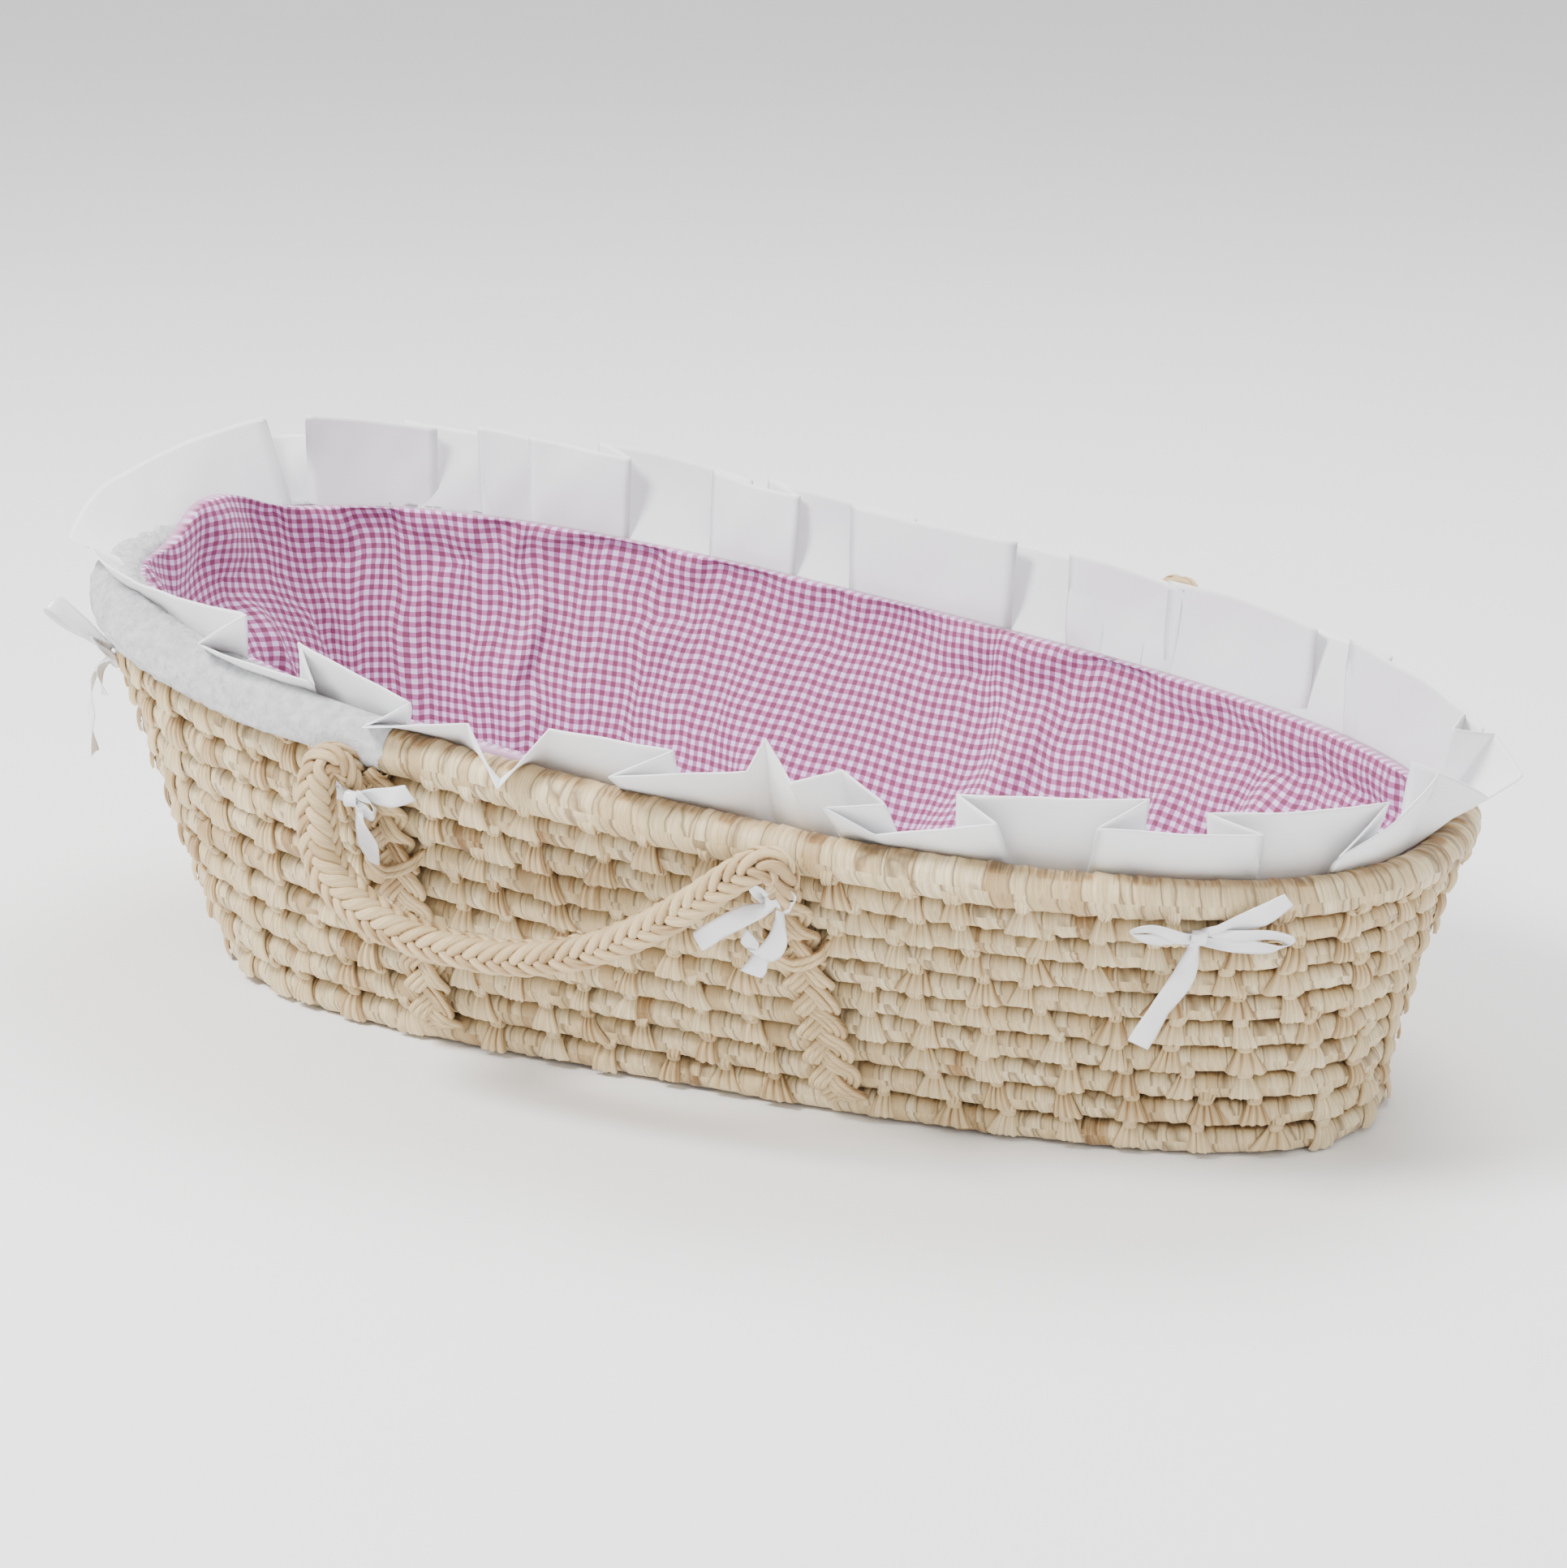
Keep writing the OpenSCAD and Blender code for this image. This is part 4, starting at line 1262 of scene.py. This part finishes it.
LOOP_BEHIND_ROPE = (
    [(-2, 1, 1), (-12, -6, 2), (-26, -10, 2), (-35, -9, -2), (-31, -13, -8), (-14, -9, -5), (-2, 1, -1)],
    [(0, 0.1, 1), (0, 0.2, 1), (-0.1, 0.5, 1), (-0.4, 0.8, 0.8), (-0.3, 0.3, 1), (0, 0.1, 1), (0, 0, 1)])

BOWS = {
    # angle on the wall, loops, tails
    "bow_head_front": (
        209, [UPRIGHT_LOOP, loop(17, 3, 1, 9)],
        [[(-1, 3, -2), (-3, 14, -12), (-5, 20, -30), (-4, 24, -48), (-5, 25, -62)],
         [(1, 3, -2), (5, 12, -10), (6, 13, -24)]]),
    "bow_head_back": (
        151, [loop(30, 10, -1), loop(28, 8, 1)],
        [[(-1, 3, -2), (-8, 7, -20), (-16, 6, -44)], [(1, 3, -2), (9, 7, -18), (18, 5, -38)]]),
    "bow_front_handle_head": (
        255.2, [LOOP_BEHIND_ROPE, loop(13, -3, 1, 7)],
        [[(0, 3, -2), (2, 4, -14), (3, 1, -28), (2, -3, -42)],
         [(1, 3, 0), (12, 4, 3), (24, 1, 5), (33, -2, 8)]]),
    "bow_front_handle_foot": (
        282.5, [loop(9, 3, -1, 7), loop(10, 3, 1, 7)],
        [[(-1, 5, -2), (-15, 10, -9), (-30, 12, -20), (-42, 10, -30)],
         [(1, 5, -3), (2, 9, -20), (-6, 10, -33), (-14, 9, -31), (-12, 8, -22)],
         [(-8, 8, -30), (-11, 9, -40), (-15, 9, -47)]]),
    "bow_back_handle_head": (
        105, [loop(14, 0, -1, 7), loop(16, 2, 1, 7)],
        [[(-1, 3, -2), (-6, 7, -20), (-9, 6, -40)], [(1, 3, -2), (7, 7, -16), (13, 6, -34)]]),
    "bow_back_handle_foot": (
        76, [loop(15, 1, -1, 7), loop(14, 0, 1, 7)],
        [[(-1, 3, -2), (-7, 7, -18), (-12, 6, -38)], [(1, 3, -2), (5, 7, -20), (8, 6, -42)]]),
    "bow_foot_front": (
        318, [loop(33, 5, -1), loop(44, -2, 1)],
        [[(1, 4, 0), (16, 9, 9), (30, 13, 18), (42, 12, 26)],
         [(-1, 4, -2), (-7, 9, -22), (-17, 7, -44), (-27, 9, -64)]]),
    "bow_foot_back": (
        41, [loop(36, 0, -1), loop(34, -2, 1)],
        [[(-1, 3, -2), (-9, 8, -22), (-18, 6, -50)], [(1, 3, -2), (9, 8, -20), (20, 6, -46)]])}
BOW_STAND = {"bow_front_handle_foot": 0.017, "bow_front_handle_head": 0.018}


def satin_material():
    s = Shader("satin_ribbon", 0.24, sheen=0.0)
    s.bsdf.inputs["Anisotropic"].default_value = 0.7
    s.bsdf.inputs["Specular IOR Level"].default_value = 0.85
    threads = s.noise(s.uv(150, 5200), 1.0, 2)
    s.colour(s.blend(threads, (0.78, 0.79, 0.83), (0.88, 0.88, 0.91)))
    s.bump(threads, 0.00008, 0.5)
    return s.material


def build_bows(satin):
    for name, (angle, loops, tails) in BOWS.items():
        obj, total = bow_mesh(name + "_ribbon", angle, loops, tails, BOW_STAND.get(name, 0.0))
        place(obj, satin, "basket", "satin_ribbon", name)


# ---- base ------------------------------------------------------------------

def base_mesh(rings=8, columns=420, around=12):
    """The floor of the basket: flattened husk coils laid ring inside ring."""
    t = np.linspace(0, TAU, columns, endpoint=False)
    edge = pad_outline(t, 0.0008)
    spine = edge.copy()
    spine[:, 1] = 0
    spine[:, 0] = np.clip(edge[:, 0], SPINE_HEAD, SPINE_FOOT)
    parts = Parts()
    a = np.arange(around)[None, :] / around * TAU
    for k in range(rings):
        share = 1 - (k + 0.5) / rings
        line = spine + (edge - spine) * share
        half = np.linalg.norm(edge - spine, axis=1) / rings / 2
        s = distances(line)
        index, part, strips = strip_pattern(s, s[-1] + 1e-4, 1200 + k)
        tone = np.random.default_rng(1250 + k).uniform(0.1, 0.9, strips)[index]
        lift = (0.0005 * (1 - part) - 0.0002)[:, None]
        direction = unit(edge - spine)
        x = half[:, None] * 1.04 * np.cos(a)
        z = (BASE_MAT_H / 2 - 0.0006 + lift) * np.sin(a)
        z = np.clip(z, -BASE_MAT_H / 2 + 0.0003, None) + BASE_MAT_H / 2
        plan = line[:, None, :] + direction[:, None, :] * x[..., None]
        points = np.concatenate([plan, z[..., None]], -1)
        parts.grid(points, s[:, None], a * 0.006, tone[:, None], wrap_rows=True, wrap_columns=True, flip=True)
    return parts.make("base_coils")


def build():
    husk = husk_material("husk_wrap", *HUSK, strips=78)
    husk_knot = husk_material("husk_knot", *HUSK, streak=900.0)
    braid = husk_material("husk_cord", *BRAID, streak=760.0)
    build_wall(husk, husk_knot)
    place(base_mesh(), husk, "basket", "husk", "base_mat")
    build_handles(braid)
    build_straps(braid)
    cotton = cotton_material("white_cotton", (0.88, 0.885, 0.90))
    foam = cotton_material("pad_cover", (0.86, 0.85, 0.80), 0.6)
    build_bedding(gingham_material(), cotton, fleece_material(), foam)
    build_bows(satin_material())
    build_camera()
    build_studio()


build()
